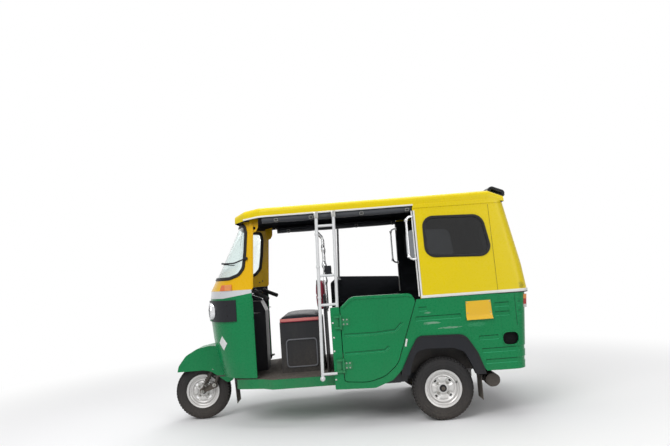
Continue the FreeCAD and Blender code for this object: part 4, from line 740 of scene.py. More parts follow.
def surface(shape, place, count_u, count_v, wrap_u=False):
    """A sheet whose points are place(u, v), u and v running from 0 to 1."""
    steps_u = count_u if wrap_u else count_u + 1
    verts = [[shape.verts.new(place(i / count_u, j / count_v)) for j in range(count_v + 1)]
             for i in range(steps_u)]
    for i in range(count_u):
        for j in range(count_v):
            ii = (i + 1) % steps_u
            shape.faces.new((verts[i][j], verts[ii][j], verts[ii][j + 1], verts[i][j + 1]))


def thicken(piece, thickness, offset=1.0, bevel=0.0):
    solid = piece.modifiers.new("Wall", "SOLIDIFY")
    solid.thickness = thickness
    solid.offset = offset
    if bevel:
        edge = piece.modifiers.new("Edge", "BEVEL")
        edge.width = bevel
        edge.segments = 2
    return settle(piece)


def shape_of_node(name):
    """A CAD node's mesh as a bmesh, welded."""
    shape = bmesh.new()
    shape.from_mesh(NODES[name].data)
    bmesh.ops.remove_doubles(shape, verts=shape.verts, dist=1e-5)
    return shape


def facing_best(faces, outward):
    """The normal, of those of the faces, that looks outward most."""
    return max((face.normal for face in faces), key=lambda n: n.dot(outward))


def sheet_rims(name, outward):
    """Outer edge loops of the thin panes in a CAD node: ordered points with their normals.

    outward(point) is the direction in which the pane's outer side faces.
    """
    shape = shape_of_node(name)
    sharp = []
    for edge in shape.edges:
        if len(edge.link_faces) == 2 and edge.calc_face_angle() > math.radians(50):
            out = outward(edge.verts[0].co)
            if facing_best(edge.link_faces, out).dot(out) > 0.6:
                sharp.append(edge)
    loops = []
    while sharp:
        edge = sharp.pop(0)
        loop = [edge.verts[0], edge.verts[1]]
        while True:
            onward = [e for e in loop[-1].link_edges if e in sharp]
            if not onward:
                break
            sharp.remove(onward[0])
            loop.append(onward[0].other_vert(loop[-1]))
            if loop[-1] == loop[0]:
                loop.pop()
                break
        if len(loop) >= 8:
            loops.append([(vert.co.copy(), facing_best(vert.link_faces, outward(vert.co)).copy())
                          for vert in loop])
    shape.free()
    return loops


def even(points, count):
    """A closed loop of (point, normal) at evenly spaced places."""
    places = [p for p, n in points] + [points[0][0]]
    normals = [n for p, n in points] + [points[0][1]]
    reach = [0.0]
    for first, second in zip(places, places[1:]):
        reach.append(reach[-1] + (second - first).length)
    out = []
    k = 0
    for i in range(count):
        want = reach[-1] * i / count
        while k < len(reach) - 2 and reach[k + 1] < want:
            k += 1
        share = (want - reach[k]) / max(reach[k + 1] - reach[k], 1e-9)
        out.append((places[k].lerp(places[k + 1], share),
                    normals[k].lerp(normals[k + 1], share).normalized()))
    return out


# Geometry Nodes for what repeats

GEOMETRY = [("Geometry", "Geometry", None)]


def finish_scatter(tree, get, put, points, instance, turn):
    """Copies of an instance on the points, made real, in the material that is given."""
    copies = node(tree, "GeometryNodeInstanceOnPoints", {"Points": points, "Instance": instance,
                                                         "Rotation": turn})
    real = node(tree, "GeometryNodeRealizeInstances", {"Geometry": copies.outputs[0]})
    coloured = node(tree, "GeometryNodeSetMaterial", {"Geometry": real.outputs[0],
                                                      "Material": get["Material"]})
    fill(tree, put, {0: coloured.outputs[0]})
    return tree


def head_tree():
    """A fastener's head on every point, facing the point's own direction."""
    tree, get, put = node_group("Geometry", "Heads", GEOMETRY + [
        ("Across", "Float", 0.013), ("Height", "Float", 0.006), ("Sides", "Int", 6),
        ("Dome", "Float", 0.3), ("Washer", "Float", 1.5), ("Material", "Material", None)],
        [("Geometry", "Geometry")])
    radius = maths(tree, "MULTIPLY", get["Across"], 0.5)
    shoulder = maths(tree, "MULTIPLY", radius, 0.86)
    head = node(tree, "GeometryNodeMeshCone", {
        "Vertices": get["Sides"], "Radius Bottom": radius, "Radius Top": shoulder,
        "Depth": get["Height"]})
    cap = node(tree, "GeometryNodeMeshCone", {
        "Vertices": get["Sides"], "Radius Bottom": shoulder,
        "Radius Top": maths(tree, "MULTIPLY", radius, 0.45),
        "Depth": maths(tree, "MULTIPLY", get["Height"], get["Dome"])})
    lift = node(tree, "ShaderNodeCombineXYZ", {"Z": get["Height"]})
    cap_up = node(tree, "GeometryNodeTransform", {"Geometry": cap.outputs["Mesh"],
                                                  "Translation": lift.outputs[0]})
    washer = node(tree, "GeometryNodeMeshCylinder", {
        "Vertices": 14, "Radius": maths(tree, "MULTIPLY", radius, get["Washer"]),
        "Depth": maths(tree, "MULTIPLY", get["Height"], 0.3)})
    both = node(tree, "GeometryNodeJoinGeometry")
    for part in (washer.outputs["Mesh"], cap_up.outputs[0], head.outputs["Mesh"]):
        tree.links.new(part, both.inputs[0])
    facing = node(tree, "GeometryNodeInputNamedAttribute", {"Name": "facing"},
                  data_type="FLOAT_VECTOR")
    turn = node(tree, "FunctionNodeAlignRotationToVector",
                {"Vector": facing.outputs["Attribute"]}, axis="Z")
    return finish_scatter(tree, get, put, get["Geometry"], both.outputs[0], turn.outputs[0])


def ring_tree():
    """Blocks standing round an axis that lies along Y, as on a tyre's tread."""
    tree, get, put = node_group("Geometry", "Ring of blocks", GEOMETRY + [
        ("Count", "Int", 60), ("Radius", "Float", 0.23), ("Along", "Float", 0.02),
        ("Wide", "Float", 0.02), ("Tall", "Float", 0.006), ("Offset", "Float", 0.0),
        ("Lean", "Float", 0.0), ("Slant", "Float", 0.0), ("Phase", "Float", 0.0),
        ("Material", "Material", None)], [("Geometry", "Geometry")])
    size = node(tree, "ShaderNodeCombineXYZ", {"X": get["Along"], "Y": get["Wide"],
                                               "Z": get["Tall"]})
    cube = node(tree, "GeometryNodeMeshCube", {"Size": size.outputs[0]})
    line = node(tree, "GeometryNodeMeshLine", {"Count": get["Count"], "Offset": (0.0, 0.0, 0.0)})
    index = node(tree, "GeometryNodeInputIndex")
    share = maths(tree, "DIVIDE", index.outputs[0], get["Count"])
    angle = maths(tree, "MULTIPLY_ADD", share, 2 * math.pi, get["Phase"])
    sine, cosine = (maths(tree, "MULTIPLY", maths(tree, wave, angle), get["Radius"])
                    for wave in ("SINE", "COSINE"))
    spot = node(tree, "ShaderNodeCombineXYZ", {"X": sine, "Y": get["Offset"], "Z": cosine})
    moved = node(tree, "GeometryNodeSetPosition", {"Geometry": line.outputs[0],
                                                   "Position": spot.outputs[0]})
    local = node(tree, "ShaderNodeCombineXYZ", {"X": get["Lean"], "Y": 0.0, "Z": get["Slant"]})
    round_axis = node(tree, "ShaderNodeCombineXYZ", {"Y": angle})
    local_turn, axis_turn = (node(tree, "FunctionNodeEulerToRotation", {0: turn.outputs[0]})
                             for turn in (local, round_axis))
    turn = node(tree, "FunctionNodeRotateRotation", {0: local_turn.outputs[0],
                                                     1: axis_turn.outputs[0]},
                rotation_space="GLOBAL")
    return finish_scatter(tree, get, put, moved.outputs[0], cube.outputs[0], turn.outputs[0])


TREE_MAKERS = {"heads": head_tree, "ring": ring_tree}
TREES = {}


def grown(points, kind, values, facing=None):
    """The mesh that a Geometry Nodes tree makes from points, with their directions if it asks."""
    if kind not in TREES:
        TREES[kind] = TREE_MAKERS[kind]()
    tree = TREES[kind]
    base = bpy.data.meshes.new("points")
    base.from_pydata([list(p) for p in points], [], [])
    if facing:
        directions = base.attributes.new("facing", "FLOAT_VECTOR", "POINT")
        directions.data.foreach_set("vector", [c for n in facing for c in n])
    holder = placed("holder", base)
    modifier = holder.modifiers.new("Repeat", "NODES")
    modifier.node_group = tree
    sockets = {item.name: item.identifier for item in tree.interface.items_tree
               if item.item_type == "SOCKET" and item.in_out == "INPUT"}
    for label, value in values.items():
        modifier[sockets[label]] = value
    settle(holder)
    mesh = holder.data
    bpy.data.objects.remove(holder)
    return mesh


FASTENERS = {
    # kind: material, across and height in mm, sides, dome, washer
    "wheel_nuts": ("zinc", 19, 10, 6, 0.5, 1.35),
    "side_plate_rivets": ("zinc", 7, 2, 10, 0.6, 1.2),
    "guard_bolts": ("zinc", 11, 5, 6, 0.4, 1.5),
    "pillar_screws": ("frame_paint", 11, 3, 12, 0.7, 1.2),
    "door_hinge_screws": ("zinc", 10, 3, 12, 0.7, 1.2),
    "door_post_screws": ("bead", 12, 4, 12, 0.8, 1.2),
    "lid_hinge_screws": ("zinc", 10, 3, 12, 0.7, 1.2),
    "roof_rivets": ("yellow_paint", None, 2.2, 12, 0.9, 1.0),
    "housing_screws": ("seal", 10, 3, 14, 0.7, 1.25),
    "belt_screws": ("green_paint", 9, 2.5, 12, 0.8, 1.0),
    "rear_flap_bolts": ("zinc", 12, 6, 6, 0.3, 1.5),
    "front_axle_nuts": ("zinc", 22, 10, 6, 0.5, 1.5),
    "engine_cover_bolts": ("zinc", 10, 6, 6, 0.3, 1.5),
    "frame_bolts": ("zinc", 15, 7, 6, 0.3, 1.5),
}


def heads(kind, spots, body="body", which=""):
    """Fasteners of one kind on spots of (point, outward direction), as one piece."""
    key, across, height, sides, dome, washer = FASTENERS[kind]
    across = across / 1000 if across else sizes().rivet
    mesh = grown([p for p, n in spots], "heads", {
        "Across": across, "Height": height / 1000, "Sides": sides, "Dome": dome,
        "Washer": washer, "Material": MATERIALS[key]}, [n for p, n in spots])
    piece = placed(kind + which, mesh)
    mesh.shade_smooth()
    mesh.set_sharp_from_angle(angle=math.radians(30))
    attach(piece, body)
    return piece


# Wheels and tyres

WHEELS = [
    # name, x of the axle, y of the middle, side that the disc faces, body
    ("front", 0.0, 0.0, -1, "front_wheel"),
    ("rear_left", REAR_AXLE, -590.0, -1, "rear_wheel_left"),
    ("rear_right", REAR_AXLE, 590.0, 1, "rear_wheel_right"),
]

TREAD_ROWS = [
    # offset from the middle, top radius, length round the tyre, width, slant
    (0.0, 238.0, 21.0, 15.0, 0.42),
    (-19.5, 237.0, 22.0, 15.0, -0.30),
    (19.5, 237.0, 22.0, 15.0, 0.30),
    (-40.5, 231.5, 17.0, 20.0, 0.12),
    (40.5, 231.5, 17.0, 20.0, -0.12),
]

TREAD_COUNT = 56

CARCASS = [
    # radius, half width, from the bead to the middle of the crown
    (131.0, 28.0), (132.0, 36.0), (143.8, 37.5), (146.0, 43.5), (150.0, 47.0), (155.0, 49.0),
    (156.0, 50.6), (159.0, 50.8), (160.0, 49.9), (168.0, 52.2), (180.0, 53.6), (181.0, 54.0),
    (184.0, 54.0), (185.0, 53.4), (198.0, 52.6), (199.0, 53.0), (201.0, 52.9), (202.0, 52.0),
    (211.0, 49.6), (218.0, 47.4), (224.0, 43.0), (228.0, 34.0), (230.0, 20.0), (230.6, 0.0),
]

TYRE_INSIDE = [
    # radius, offset across, from bead to bead
    (129, -26), (150, -40), (190, -45), (215, -34), (221, 0), (215, 34), (190, 45), (150, 40),
    (129, 26),
]


def wheel_centre(x, y):
    return at(x, y, 0) + Vector((0, 0, WHEEL_R))


def tyre(name, x, y, body):
    """A tyre with its moulded rings and, standing on it, the blocks of its tread."""
    centre = wheel_centre(x, y)
    shape = bmesh.new()
    other_side = [(r, -w) for r, w in reversed(CARCASS[:-1])]
    turned(shape, centre, (0, 1, 0), CARCASS + other_side + TYRE_INSIDE, 72, closed=True)
    piece = closed_piece("tyre_%s_rubber" % name, shape, "tyre_rubber", body=body,
                         replaces=["tyre_" + name])
    deep = sizes().tread_depth + 0.003
    for row, (offset, top, along, wide, slant) in enumerate(TREAD_ROWS):
        blocks = grown([(0, 0, 0)], "ring", {
            "Count": TREAD_COUNT, "Radius": top / 1000 - deep / 2, "Along": along / 1000,
            "Wide": wide / 1000, "Tall": deep, "Offset": offset / 1000, "Slant": slant,
            "Lean": -offset / 230, "Phase": (row % 2) * math.pi / TREAD_COUNT,
            "Material": MATERIALS["tyre_rubber"]})
        blocks.transform(Matrix.Translation(centre))
        holder = placed("tread", blocks)
        edge = holder.modifiers.new("Edge", "BEVEL")
        edge.width = 0.0012
        edge.segments = 1
        settle(holder)
        both = bmesh.new()
        both.from_mesh(piece.data)
        both.from_mesh(holder.data)
        both.to_mesh(piece.data)
        both.free()
        bpy.data.objects.remove(holder)
    piece.data.shade_smooth()
    piece.data.set_sharp_from_angle(angle=math.radians(35))


RIM = [
    # radius, offset outwards, once round the section of the barrel
    (143.0, 42.0), (144.0, 38.5), (139.5, 36.8), (131.0, 35.5), (129.5, 21.0), (118.0, 13.0),
    (118.0, -13.0), (129.5, -21.0), (131.0, -35.5), (139.5, -36.8), (144.0, -38.5),
    (143.0, -42.0), (140.0, -41.0), (135.0, -39.0), (127.0, -37.5), (125.5, -23.0),
    (114.0, -15.0), (114.0, 15.0), (125.5, 23.0), (127.0, 37.5), (135.0, 39.0), (140.0, 41.0),
]

DISC = [
    # radius, offset outwards of the pressed face
    (26.0, 24.0), (30.0, 25.0), (38.0, 24.0), (46.0, 16.0), (56.0, 13.0), (68.0, 14.5),
    (80.0, 16.5), (88.0, 21.0), (93.0, 27.0), (98.0, 29.5), (103.0, 28.0), (107.0, 22.0),
    (112.0, 17.5), (119.0, 18.0), (124.5, 22.0), (126.4, 30.0), (126.4, 35.5),
]

# Radii of the disc's rings of points, closer together where it bends
DISC_RADII = [26, 30, 34, 38, 42, 46, 50, 54, 60, 66, 72, 78, 82, 86, 90, 93, 96, 98, 101, 103,
              105, 107, 109.5, 112, 115.5, 119, 122, 124.5, 126.0, 126.4]

# Radius and offset outwards of the turned parts
HUB = [(15.5, -44.0), (42.0, -44.0), (42.0, 6.0), (40.0, 10.0), (40.0, 20.0), (34.0, 23.0),
       (15.5, 23.0)]
HUB_CAP = [(0.0, 33.5), (6.0, 33.2), (11.0, 32.0), (15.0, 30.0), (17.0, 34.0), (19.5, 35.0),
           (24.0, 34.0), (27.0, 30.0), (28.0, 24.0), (20.0, 22.0), (17.0, 22.0)]
VALVE = [(4.5, 0.0), (4.5, 6.0), (3.0, 8.0), (3.0, 20.0), (3.8, 20.0), (3.8, 29.0), (2.5, 31.0),
         (0.0, 31.0)]
VALVE_ANGLE = 0.35
VENT_INNER, VENT_OUTER, VENT_HALF_WIDTH = 73, 87, 8


def disc_depth(radius, angle):
    """The pressed face of the wheel: its own profile with raised lobes round the hub."""
    for (r1, d1), (r2, d2) in zip(DISC, DISC[1:]):
        if radius <= r2:
            depth = d1 + (d2 - d1) * ((radius - r1) / (r2 - r1))
            break
    lobe = 0.5 + 0.5 * math.cos(4 * angle)
    lobe = min(1.0, max(0.0, (lobe - 0.28) / 0.34))
    lobe = lobe * lobe * (3 - 2 * lobe)
    band = max(0.0, 1 - ((radius - 66) / 20) ** 4) if 46 < radius < 86 else 0.0
    return depth + 10.5 * lobe * band


def wheel(name, x, y, facing, body):
    """A pressed wheel: rolled barrel, disc with lobes and slots, hub, cap, nuts and valve."""
    centre = wheel_centre(x, y)
    axis = (0, facing, 0)

    def polar(radius, angle, depth):
        return centre + Vector((math.cos(angle) * radius, facing * depth,
                                math.sin(angle) * radius)) / 1000

    def place(u, v):
        angle = 2 * math.pi * u
        radius = DISC_RADII[round(v * (len(DISC_RADII) - 1))]
        return polar(radius, angle, disc_depth(radius, angle))

    def in_vent(face):
        spot = face.calc_center_median() - centre
        share = (math.atan2(spot.z, spot.x) / (math.pi / 4) - 1) / 2
        return (VENT_INNER < math.hypot(spot.x, spot.z) * 1000 < VENT_OUTER
                and abs(share - round(share)) * 90 < VENT_HALF_WIDTH)

    shape = bmesh.new()
    turned(shape, centre, axis, RIM, 72, closed=True)
    face_out(shape)
    disc = bmesh.new()
    surface(disc, place, 96, len(DISC_RADII) - 1, wrap_u=True)
    bmesh.ops.delete(disc, geom=[face for face in disc.faces if in_vent(face)], context="FACES")
    holder = placed("disc", mesh_of("disc", disc))
    face_out_mesh(holder.data, Vector(axis))
    thicken(holder, 0.003, offset=-1.0)
    shape.from_mesh(holder.data)
    bpy.data.objects.remove(holder)
    turned(shape, centre, axis, HUB, 40, closed=True)
    finish_piece("wheel_" + name, shape, "rim_silver", body=body, smooth=35,
                 replaces=["rim_" + name])
    turned_piece("hub_cap_" + name, centre, axis, HUB_CAP, 40, "black_plastic", "rim_silver", body)
    nuts = [(polar(52, math.pi / 4 + i * math.pi / 2, 14.5), axis) for i in range(4)]
    heads("wheel_nuts", nuts, body, "_" + name)
    lean = Vector((math.cos(VALVE_ANGLE) * -0.25, facing, math.sin(VALVE_ANGLE) * -0.25))
    turned_piece("valve_" + name, polar(119, VALVE_ANGLE, 13.0), lean.normalized(), VALVE, 12,
                 "grip", "tyre_rubber", body)


# Seats

CLOTH = {"use_pressure": True, "tension_stiffness": 40, "compression_stiffness": 40,
         "bending_stiffness": 4, "vertex_group_mass": "Held", "pin_stiffness": 1.0}
CLOTH_FRAMES = 12
LONGEST_WAY = 0.012


def blow_up(piece, pressure):
    """Lets the piece swell as cloth with its foot held, no point further than the longest way."""
    scene = bpy.context.scene
    before = [v.co.copy() for v in piece.data.vertices]
    held = piece.vertex_groups.new(name="Held")
    low = min(v.co.z for v in piece.data.vertices)
    for vert in piece.data.vertices:
        if vert.co.z < low + 0.004:
            held.add([vert.index], 1.0, "REPLACE")
    cloth = piece.modifiers.new("Cloth", "CLOTH")
    for setting, value in CLOTH.items():
        setattr(cloth.settings, setting, value)
    cloth.settings.uniform_pressure_force = pressure
    cloth.settings.effector_weights.gravity = 0
    cloth.point_cache.frame_start = 1
    cloth.point_cache.frame_end = CLOTH_FRAMES
    for step in range(1, CLOTH_FRAMES + 1):
        scene.frame_set(step)
    settle(piece)
    scene.frame_set(1)
    for vert, start in zip(piece.data.vertices, before):
        way = vert.co - start
        if way.length > LONGEST_WAY:
            vert.co = start + way.normalized() * LONGEST_WAY


def padding(node_name, build, key, pressure, crowns, voxel=0.006):
    """A stuffed cover for a CAD node: a voxel shape blown up as cloth, then crowned and sewn."""
    made = bmesh.new()
    build(made)
    name = node_name + "_cover"
    piece = placed(name, mesh_of(name, made))
    grid = piece.modifiers.new("Grid", "REMESH")
    grid.mode = "VOXEL"
    grid.voxel_size = voxel
    settle(piece)
    blow_up(piece, pressure)
    smooth = piece.modifiers.new("Soft", "SMOOTH")
    smooth.factor = 0.5
    smooth.iterations = 4
    settle(piece)
    for vert in piece.data.vertices:
        for crown in crowns:
            vert.co += crown(vert.co)
    piece.data.materials.clear()
    piece.data.materials.append(MATERIALS[key])
    piece.data.shade_smooth()
    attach(piece, "body")
    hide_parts(node_name)


def channel(places, axis, width, depth, normal, low=None):
    """A seam pressed into the padding wherever the axis coordinate is at one of the places."""
    def move(co):
        nearest = min(abs(co[axis] - place) for place in places)
        if nearest > width * 3 or (low is not None and co.z < low):
            return Vector((0, 0, 0))
        return -Vector(normal) * depth * math.exp(-(nearest / width) ** 2)
    return move


def padded_box(low, high, bevel):
    def build(shape):
        block(shape, low, high, bevel, 3)
    return build


# Finding places on the CAD surfaces

TREE_OF = {}


def tree_of(name):
    if name not in TREE_OF:
        mesh = NODES[name].data
        TREE_OF[name] = BVHTree.FromPolygons([v.co for v in mesh.vertices],
                                             [list(p.vertices) for p in mesh.polygons])
    return TREE_OF[name]


def touch(name, start, direction):
    """Where a ray first meets a CAD node: the point and the direction out of the surface."""
    direction = Vector(direction).normalized()
    point, normal = tree_of(name).ray_cast(Vector(start), direction)[:2]
    if point is None:
        raise RuntimeError("%s isn't met from %s" % (name, list(start)))
    if normal.dot(direction) > 0:
        normal = -normal
    return point, normal


def from_left(name, x, z, side=-1):
    """The outer surface of a node, met from the left (or with side 1 the right)."""
    return touch(name, at(x, side * 1500, z), (0, -side, 0))


def from_front(name, y, z):
    return touch(name, at(-900, y, z), (1, 0, 0))


def from_rear(name, y, z):
    return touch(name, at(3200, y, z), (-1, 0, 0))


def side_point(name, x, z, side):
    """Where a ray from one side meets a node, or None."""
    return tree_of(name).ray_cast(at(x, side * 1500, z), Vector((0, -side, 0)))[0]


def last_met(inside, outside, met):
    """The last place from inside to outside at which met() holds."""
    for _ in range(18):
        middle = (inside + outside) / 2
        if met(middle):
            inside = middle
        else:
            outside = middle
    return inside


def roof_foot(x, side):
    """The lower edge of the roof rail at x."""
    def met(z):
        point = side_point("roof_panel", x, z, side)
        return point is not None and abs(point.y) > 0.52
    return last_met(1720, 1560, met)


def rearmost(name, z, side, near, far):
    """The rear edge of a node's outer side at height z."""
    def met(x):
        point = side_point(name, x, z, side)
        return point is not None and point.y * side > 0
    return last_met(near, far, met)


def strip(name, spots, width, thickness, key, slot=None, body="body", closed=False, inwards=0.25):
    """A moulding of rounded section along (point, normal) spots, part sunk into the surface."""
    path = [p + n * thickness * (0.5 - inwards) for p, n in spots]
    return swept_piece(name, path, rounded_bar(width, thickness, 0.45, 3), key, slot, body, closed,
                       [n for p, n in spots])


def puff(shape, lift):
    """Moves every point outward along its normal."""
    shape.normal_update()
    for vert, step in [(vert, vert.normal * lift) for vert in shape.verts]:
        vert.co += step


def copy_of_part(name, source, key, slot, keep):
    """A skin over part of a CAD node: what lies on the inner side of the (point, normal) planes."""
    shape = shape_of_node(source)
    for point, normal in keep:
        geometry = list(shape.verts) + list(shape.edges) + list(shape.faces)
        cut = bmesh.ops.bisect_plane(shape, geom=geometry, plane_co=point, plane_no=normal,
                                     clear_outer=True)
        edges = [e for e in cut["geom_cut"] if isinstance(e, bmesh.types.BMEdge)]
        bmesh.ops.holes_fill(shape, edges=edges)
    bmesh.ops.recalc_face_normals(shape, faces=shape.faces)
    puff(shape, 0.0008)
    return finish_piece(name, shape, key, slot, smooth=35)


def skin(name, source, wanted, key, slot):
    """A thin covering over those faces of a CAD node that are wanted."""
    shape = shape_of_node(source)
    shape.normal_update()
    spare = [f for f in shape.faces if not wanted(f.calc_center_median(), f.normal)]
    bmesh.ops.delete(shape, geom=spare, context="FACES")
    puff(shape, 0.0008)
    return thicken(finish_piece(name, shape, key, slot), 0.002)


# Windows

def seals():
    """Black rubber round every pane, half over the glass and half over the panel."""
    wide = sizes().seal
    panes = [
        ("windscreen", lambda p: Vector((-0.8, 1.2 * p.y, 0.3)).normalized(), 150, wide * 1.25),
        ("side_windows", lambda p: Vector((0, math.copysign(1, p.y), 0.1)), 90, wide),
        ("rear_window", lambda p: Vector((1, 0, 0.15)), 90, wide),
    ]
    for name, outward, count, width in panes:
        for side, loop in enumerate(sheet_rims(name, outward)):
            spots = even(loop, count)
            inner = [(p - n * 0.0056, -n) for p, n in spots]
            for which, where, thick in (("", spots, 0.010), ("inner_", inner, 0.009)):
                strip("%sseal_%s_%d" % (which, name, side), where, width, thick, "seal",
                      "black_plastic", closed=True, inwards=0.2)


def wiper():
    """Wiper: spindle on the left pillar, sprung arm and a blade that lies on the glass."""
    rest = []
    for i in range(17):
        y = -448 + 24 * i
        z = 1304 + 22 * math.sin(math.pi / 2 * min(1.0, i / 9))
        point, normal = from_front("windscreen", y, z)
        rest.append((point + normal * 0.009, normal))
    blade = bmesh.new()
    sweep(blade, [p for p, n in rest], rounded_bar(0.007, 0.012, 0.3, 2), up=[n for p, n in rest])
    sweep(blade, [p + n * 0.009 for p, n in rest[2:-2]], rounded_bar(0.012, 0.005, 0.4, 2),
          up=[n for p, n in rest[2:-2]])
    for i in (3, 8, 13):
        point, normal = rest[i]
        block(blade, point + normal * 0.006 - Vector((0.006, 0.012, 0.006)),
              point + normal * 0.006 + Vector((0.006, 0.012, 0.006)), 0.002)
    closed_piece("wiper_blade", blade, "grip", "black_plastic")
    spindle, out = from_left("front_cowl", 520, 1352)
    arm = bmesh.new()
    turned(arm, spindle, out, [(13, -4), (13, 10), (9, 14), (9, 24), (0, 26)])
    near, normal = rest[0]
    mid, outward = rest[6]
    path = round_corners([spindle + out * 0.018, near + normal * 0.026 + Vector((0.02, 0, 0.012)),
                          rest[3][0] + rest[3][1] * 0.024, mid + outward * 0.014], 0.03, 6)
    sweep(arm, path, rounded_bar(0.011, 0.005, 0.4, 2), up=tuple(out))
    closed_piece("wiper_arm", arm, "black_plastic")


# Beading and gutters

# Where the quarter panels end and the rear panel begins
QUARTER_END = 2476

# Rolled edges: piece, node, colour, foot and top in z, search range in x, points
ROLLED_EDGES = [
    ("shield_roll_", "front_shield", "green_paint", 402, 1032, 430, 600, 26),
    ("pillar_roll_", "front_cowl", "cowl_paint", 1112, 1622, 470, 640, 30),
]

def gutters():
    """The pale lip along the foot of the roof rail, and the closed joint behind it."""
    for side, name in SIDES:
        lip = [(from_left("roof_panel", x, roof_foot(x, side) + 7, side)[0], Vector((0, side, 0)))
               for x in spaced(520, 1888, 36)]
        strip("gutter_" + name, lip, 0.014, 0.008, "bead", "white_tube")
        low, high = [], []
        for x in spaced(1884, 2592, 36):
            panel = "rear_panel_upper" if x > QUARTER_END else "quarter_upper_" + name
            low.append(from_left(panel, x, 1650, side)[0])
            high.append(from_left("roof_panel", x, roof_foot(x, side) + 10, side)[0])
        cover = bmesh.new()
        out = Vector((0, side * 0.0016, 0))
        surface(cover, lambda u, v: low[round(u * 35)].lerp(high[round(u * 35)], v) + out, 35, 5)
        joint = finish_piece("roof_joint_" + name, cover, "yellow_paint")
        thicken(joint, 0.006, offset=0, bevel=0.0012)


def belt_bead():
    """The white bead under the yellow panels, round both sides and the back, and its seal."""
    height = BELT + 14
    corner = at(2630, -560, height)

    def level(spot):
        point, normal = spot
        return point, Vector((normal.x, normal.y, 0)).normalized()

    sides = [[level(from_left("rear_panel_upper" if x > QUARTER_END else "quarter_upper_" + name,
                              x, height, side)) for x in spaced(1884, 2612, 14)]
             for side, name in SIDES]
    turn = []
    for i in range(11):
        angle = math.pi / 2 * (i + 0.5) / 11
        direction = Vector((math.sin(angle), -math.cos(angle), 0))
        turn.append(level(touch("rear_panel_upper", corner + direction * 0.6, -direction)))
    back = [(from_rear("rear_panel_upper", -520 + 130 * i, height)[0], Vector((1, 0, 0)))
            for i in range(9)]
    other_turn = [(Vector((p.x, -p.y, p.z)), Vector((n.x, -n.y, 0))) for p, n in turn[::-1]]
    path = sides[0] + turn + back + other_turn + sides[1][::-1]
    strip("belt_bead", path, sizes().trim, 0.009, "bead", "white_tube")
    under = [(p - Vector((0, 0, sizes().trim * 0.5 + 0.0035)), n) for p, n in path]
    strip("belt_seal", under, 0.008, 0.006, "seal", "black_plastic")


def quarter_beads():
    """White beads up the front edge of the quarter panels, one outside and one inside."""
    for side, name in SIDES:
        edge = [from_left("quarter_upper_" + name, 1892, z, side)
                for z in spaced(BELT + 20, 1632, 24)]
        outer = [(p + Vector((-0.002, 0, 0)), n) for p, n in edge]
        inner = [(p + Vector((-0.020, 0, 0)) - n * 0.004, n) for p, n in edge]
        strip("quarter_bead_outer_" + name, outer, 0.014, 0.009, "bead", "white_tube")
        strip("quarter_bead_inner_" + name, inner, 0.010, 0.009, "bead", "white_tube")
        between = [(p + Vector((0.0095, 0, 0)) + n * 0.001, n) for p, n in inner]
        strip("quarter_seal_" + name, between, 0.009, 0.006, "seal", "black_plastic")


# The pressed grooves of the lower quarters: front end, rear end and drop below the belt, in mm
GROOVES = [(1855, 1921, 78), (1824, 2180, 150), (2441, 2561, 86), (2439, 2559, 155),
           (2622, 2652, 86), (2622, 2652, 155), (2300, 2455, 330), (2315, 2610, 427),
           (2337, 2610, 511)]
# Lines along each groove: kind, lift from the groove's middle in mm, width. The dark kind is
# painted shadow under the upper wall, the pale kind a painted highlight on the lower wall.
GROOVE_LINES = [("painted_shadow", 14.5, 0.0055), ("worn", -16.0, 0.0035)]


def lower_skin(x, z, side, name):
    """The outer surface of the green panels under the belt."""
    if x > 2474:
        return from_left("rear_panel_lower", max(x, 2488), z, side)
    return from_left("side_panel_" + name, x, z, side)


def thin_lines(name, rows, width, thickness, key, body="body"):
    """Lines on the green paint along rows of (point, normal) spots, as one piece."""
    shape = bmesh.new()
    for spots in rows:
        sweep(shape, [p + n * 0.0002 for p, n in spots], rounded_bar(width, thickness, 0.45, 3),
              up=[n for p, n in spots])
    closed_piece(name, shape, key, "green_paint", body)


def groove_lines():
    """Painted shadow under the upper wall of each pressed groove, and a painted highlight on its
    lower wall.
    """
    for side, name in SIDES:
        for kind, lift, width in GROOVE_LINES:
            rows = [[lower_skin(x, BELT - drop + lift, side, name)
                     for x in spaced(front + 4, rear - 4, 9)] for front, rear, drop in GROOVES]
            thin_lines("groove_%s_%s" % (kind, name), rows, width, 0.0014, "groove_" + kind)
        # Darker lines down the panel joints, at the rear corner of the green panels and between the
        # quarter and the back: painted shadow in the seams.
        seam = [lower_skin(2606, z, side, name) for z in spaced(BELT - 22, BELT - 252, 10)]
        strip("corner_seam_" + name, seam, 0.0035, 0.002, "groove_painted_shadow", "green_paint", inwards=0.4)
        seam = [from_left("rear_panel_upper", 2484, z, side) for z in spaced(BELT + 26, 1640, 20)]
        strip("quarter_seam_" + name, seam, 0.0035, 0.002, "seam_painted_shadow", "yellow_paint", inwards=0.4)


def shield_edges():
    """Rolled rear edges of the shield and of the cowl's pillars."""
    for side, name in SIDES:
        for piece, source, key, foot, top, near, far, count in ROLLED_EDGES:
            path = [from_left(source, rearmost(source, z, side, near, far) - 4, z, side)[0]
                    + Vector((0.004, 0, 0)) for z in spaced(foot, top, count)]
            swept_piece(piece + name, path, circle(0.006, 10), key)


# Labels and plates, all blank

def label():
    """A blank white diamond on the shield's left side."""
    start = at(-400, -900, 676)
    centre, normal = touch("front_shield", start, at(272, -391, 676) - start)
    across = Vector((0, 0, 1)).cross(normal).normalized()
    upwards = normal.cross(across)

    def place(u, v):
        a, b = u - 0.5, v - 0.5
        spot = centre + across * (a - b) * 0.052 + upwards * (a + b) * 0.060
        point, out = touch("front_shield", spot + normal * 0.1, -normal)
        return point + out * 0.0015

    shape = bmesh.new()
    surface(shape, place, 10, 10)
    piece = finish_piece("blank_label", shape, "sticker", "green_paint")
    face_out_mesh(piece.data, normal)
    thicken(piece, 0.0012, offset=-1.0)


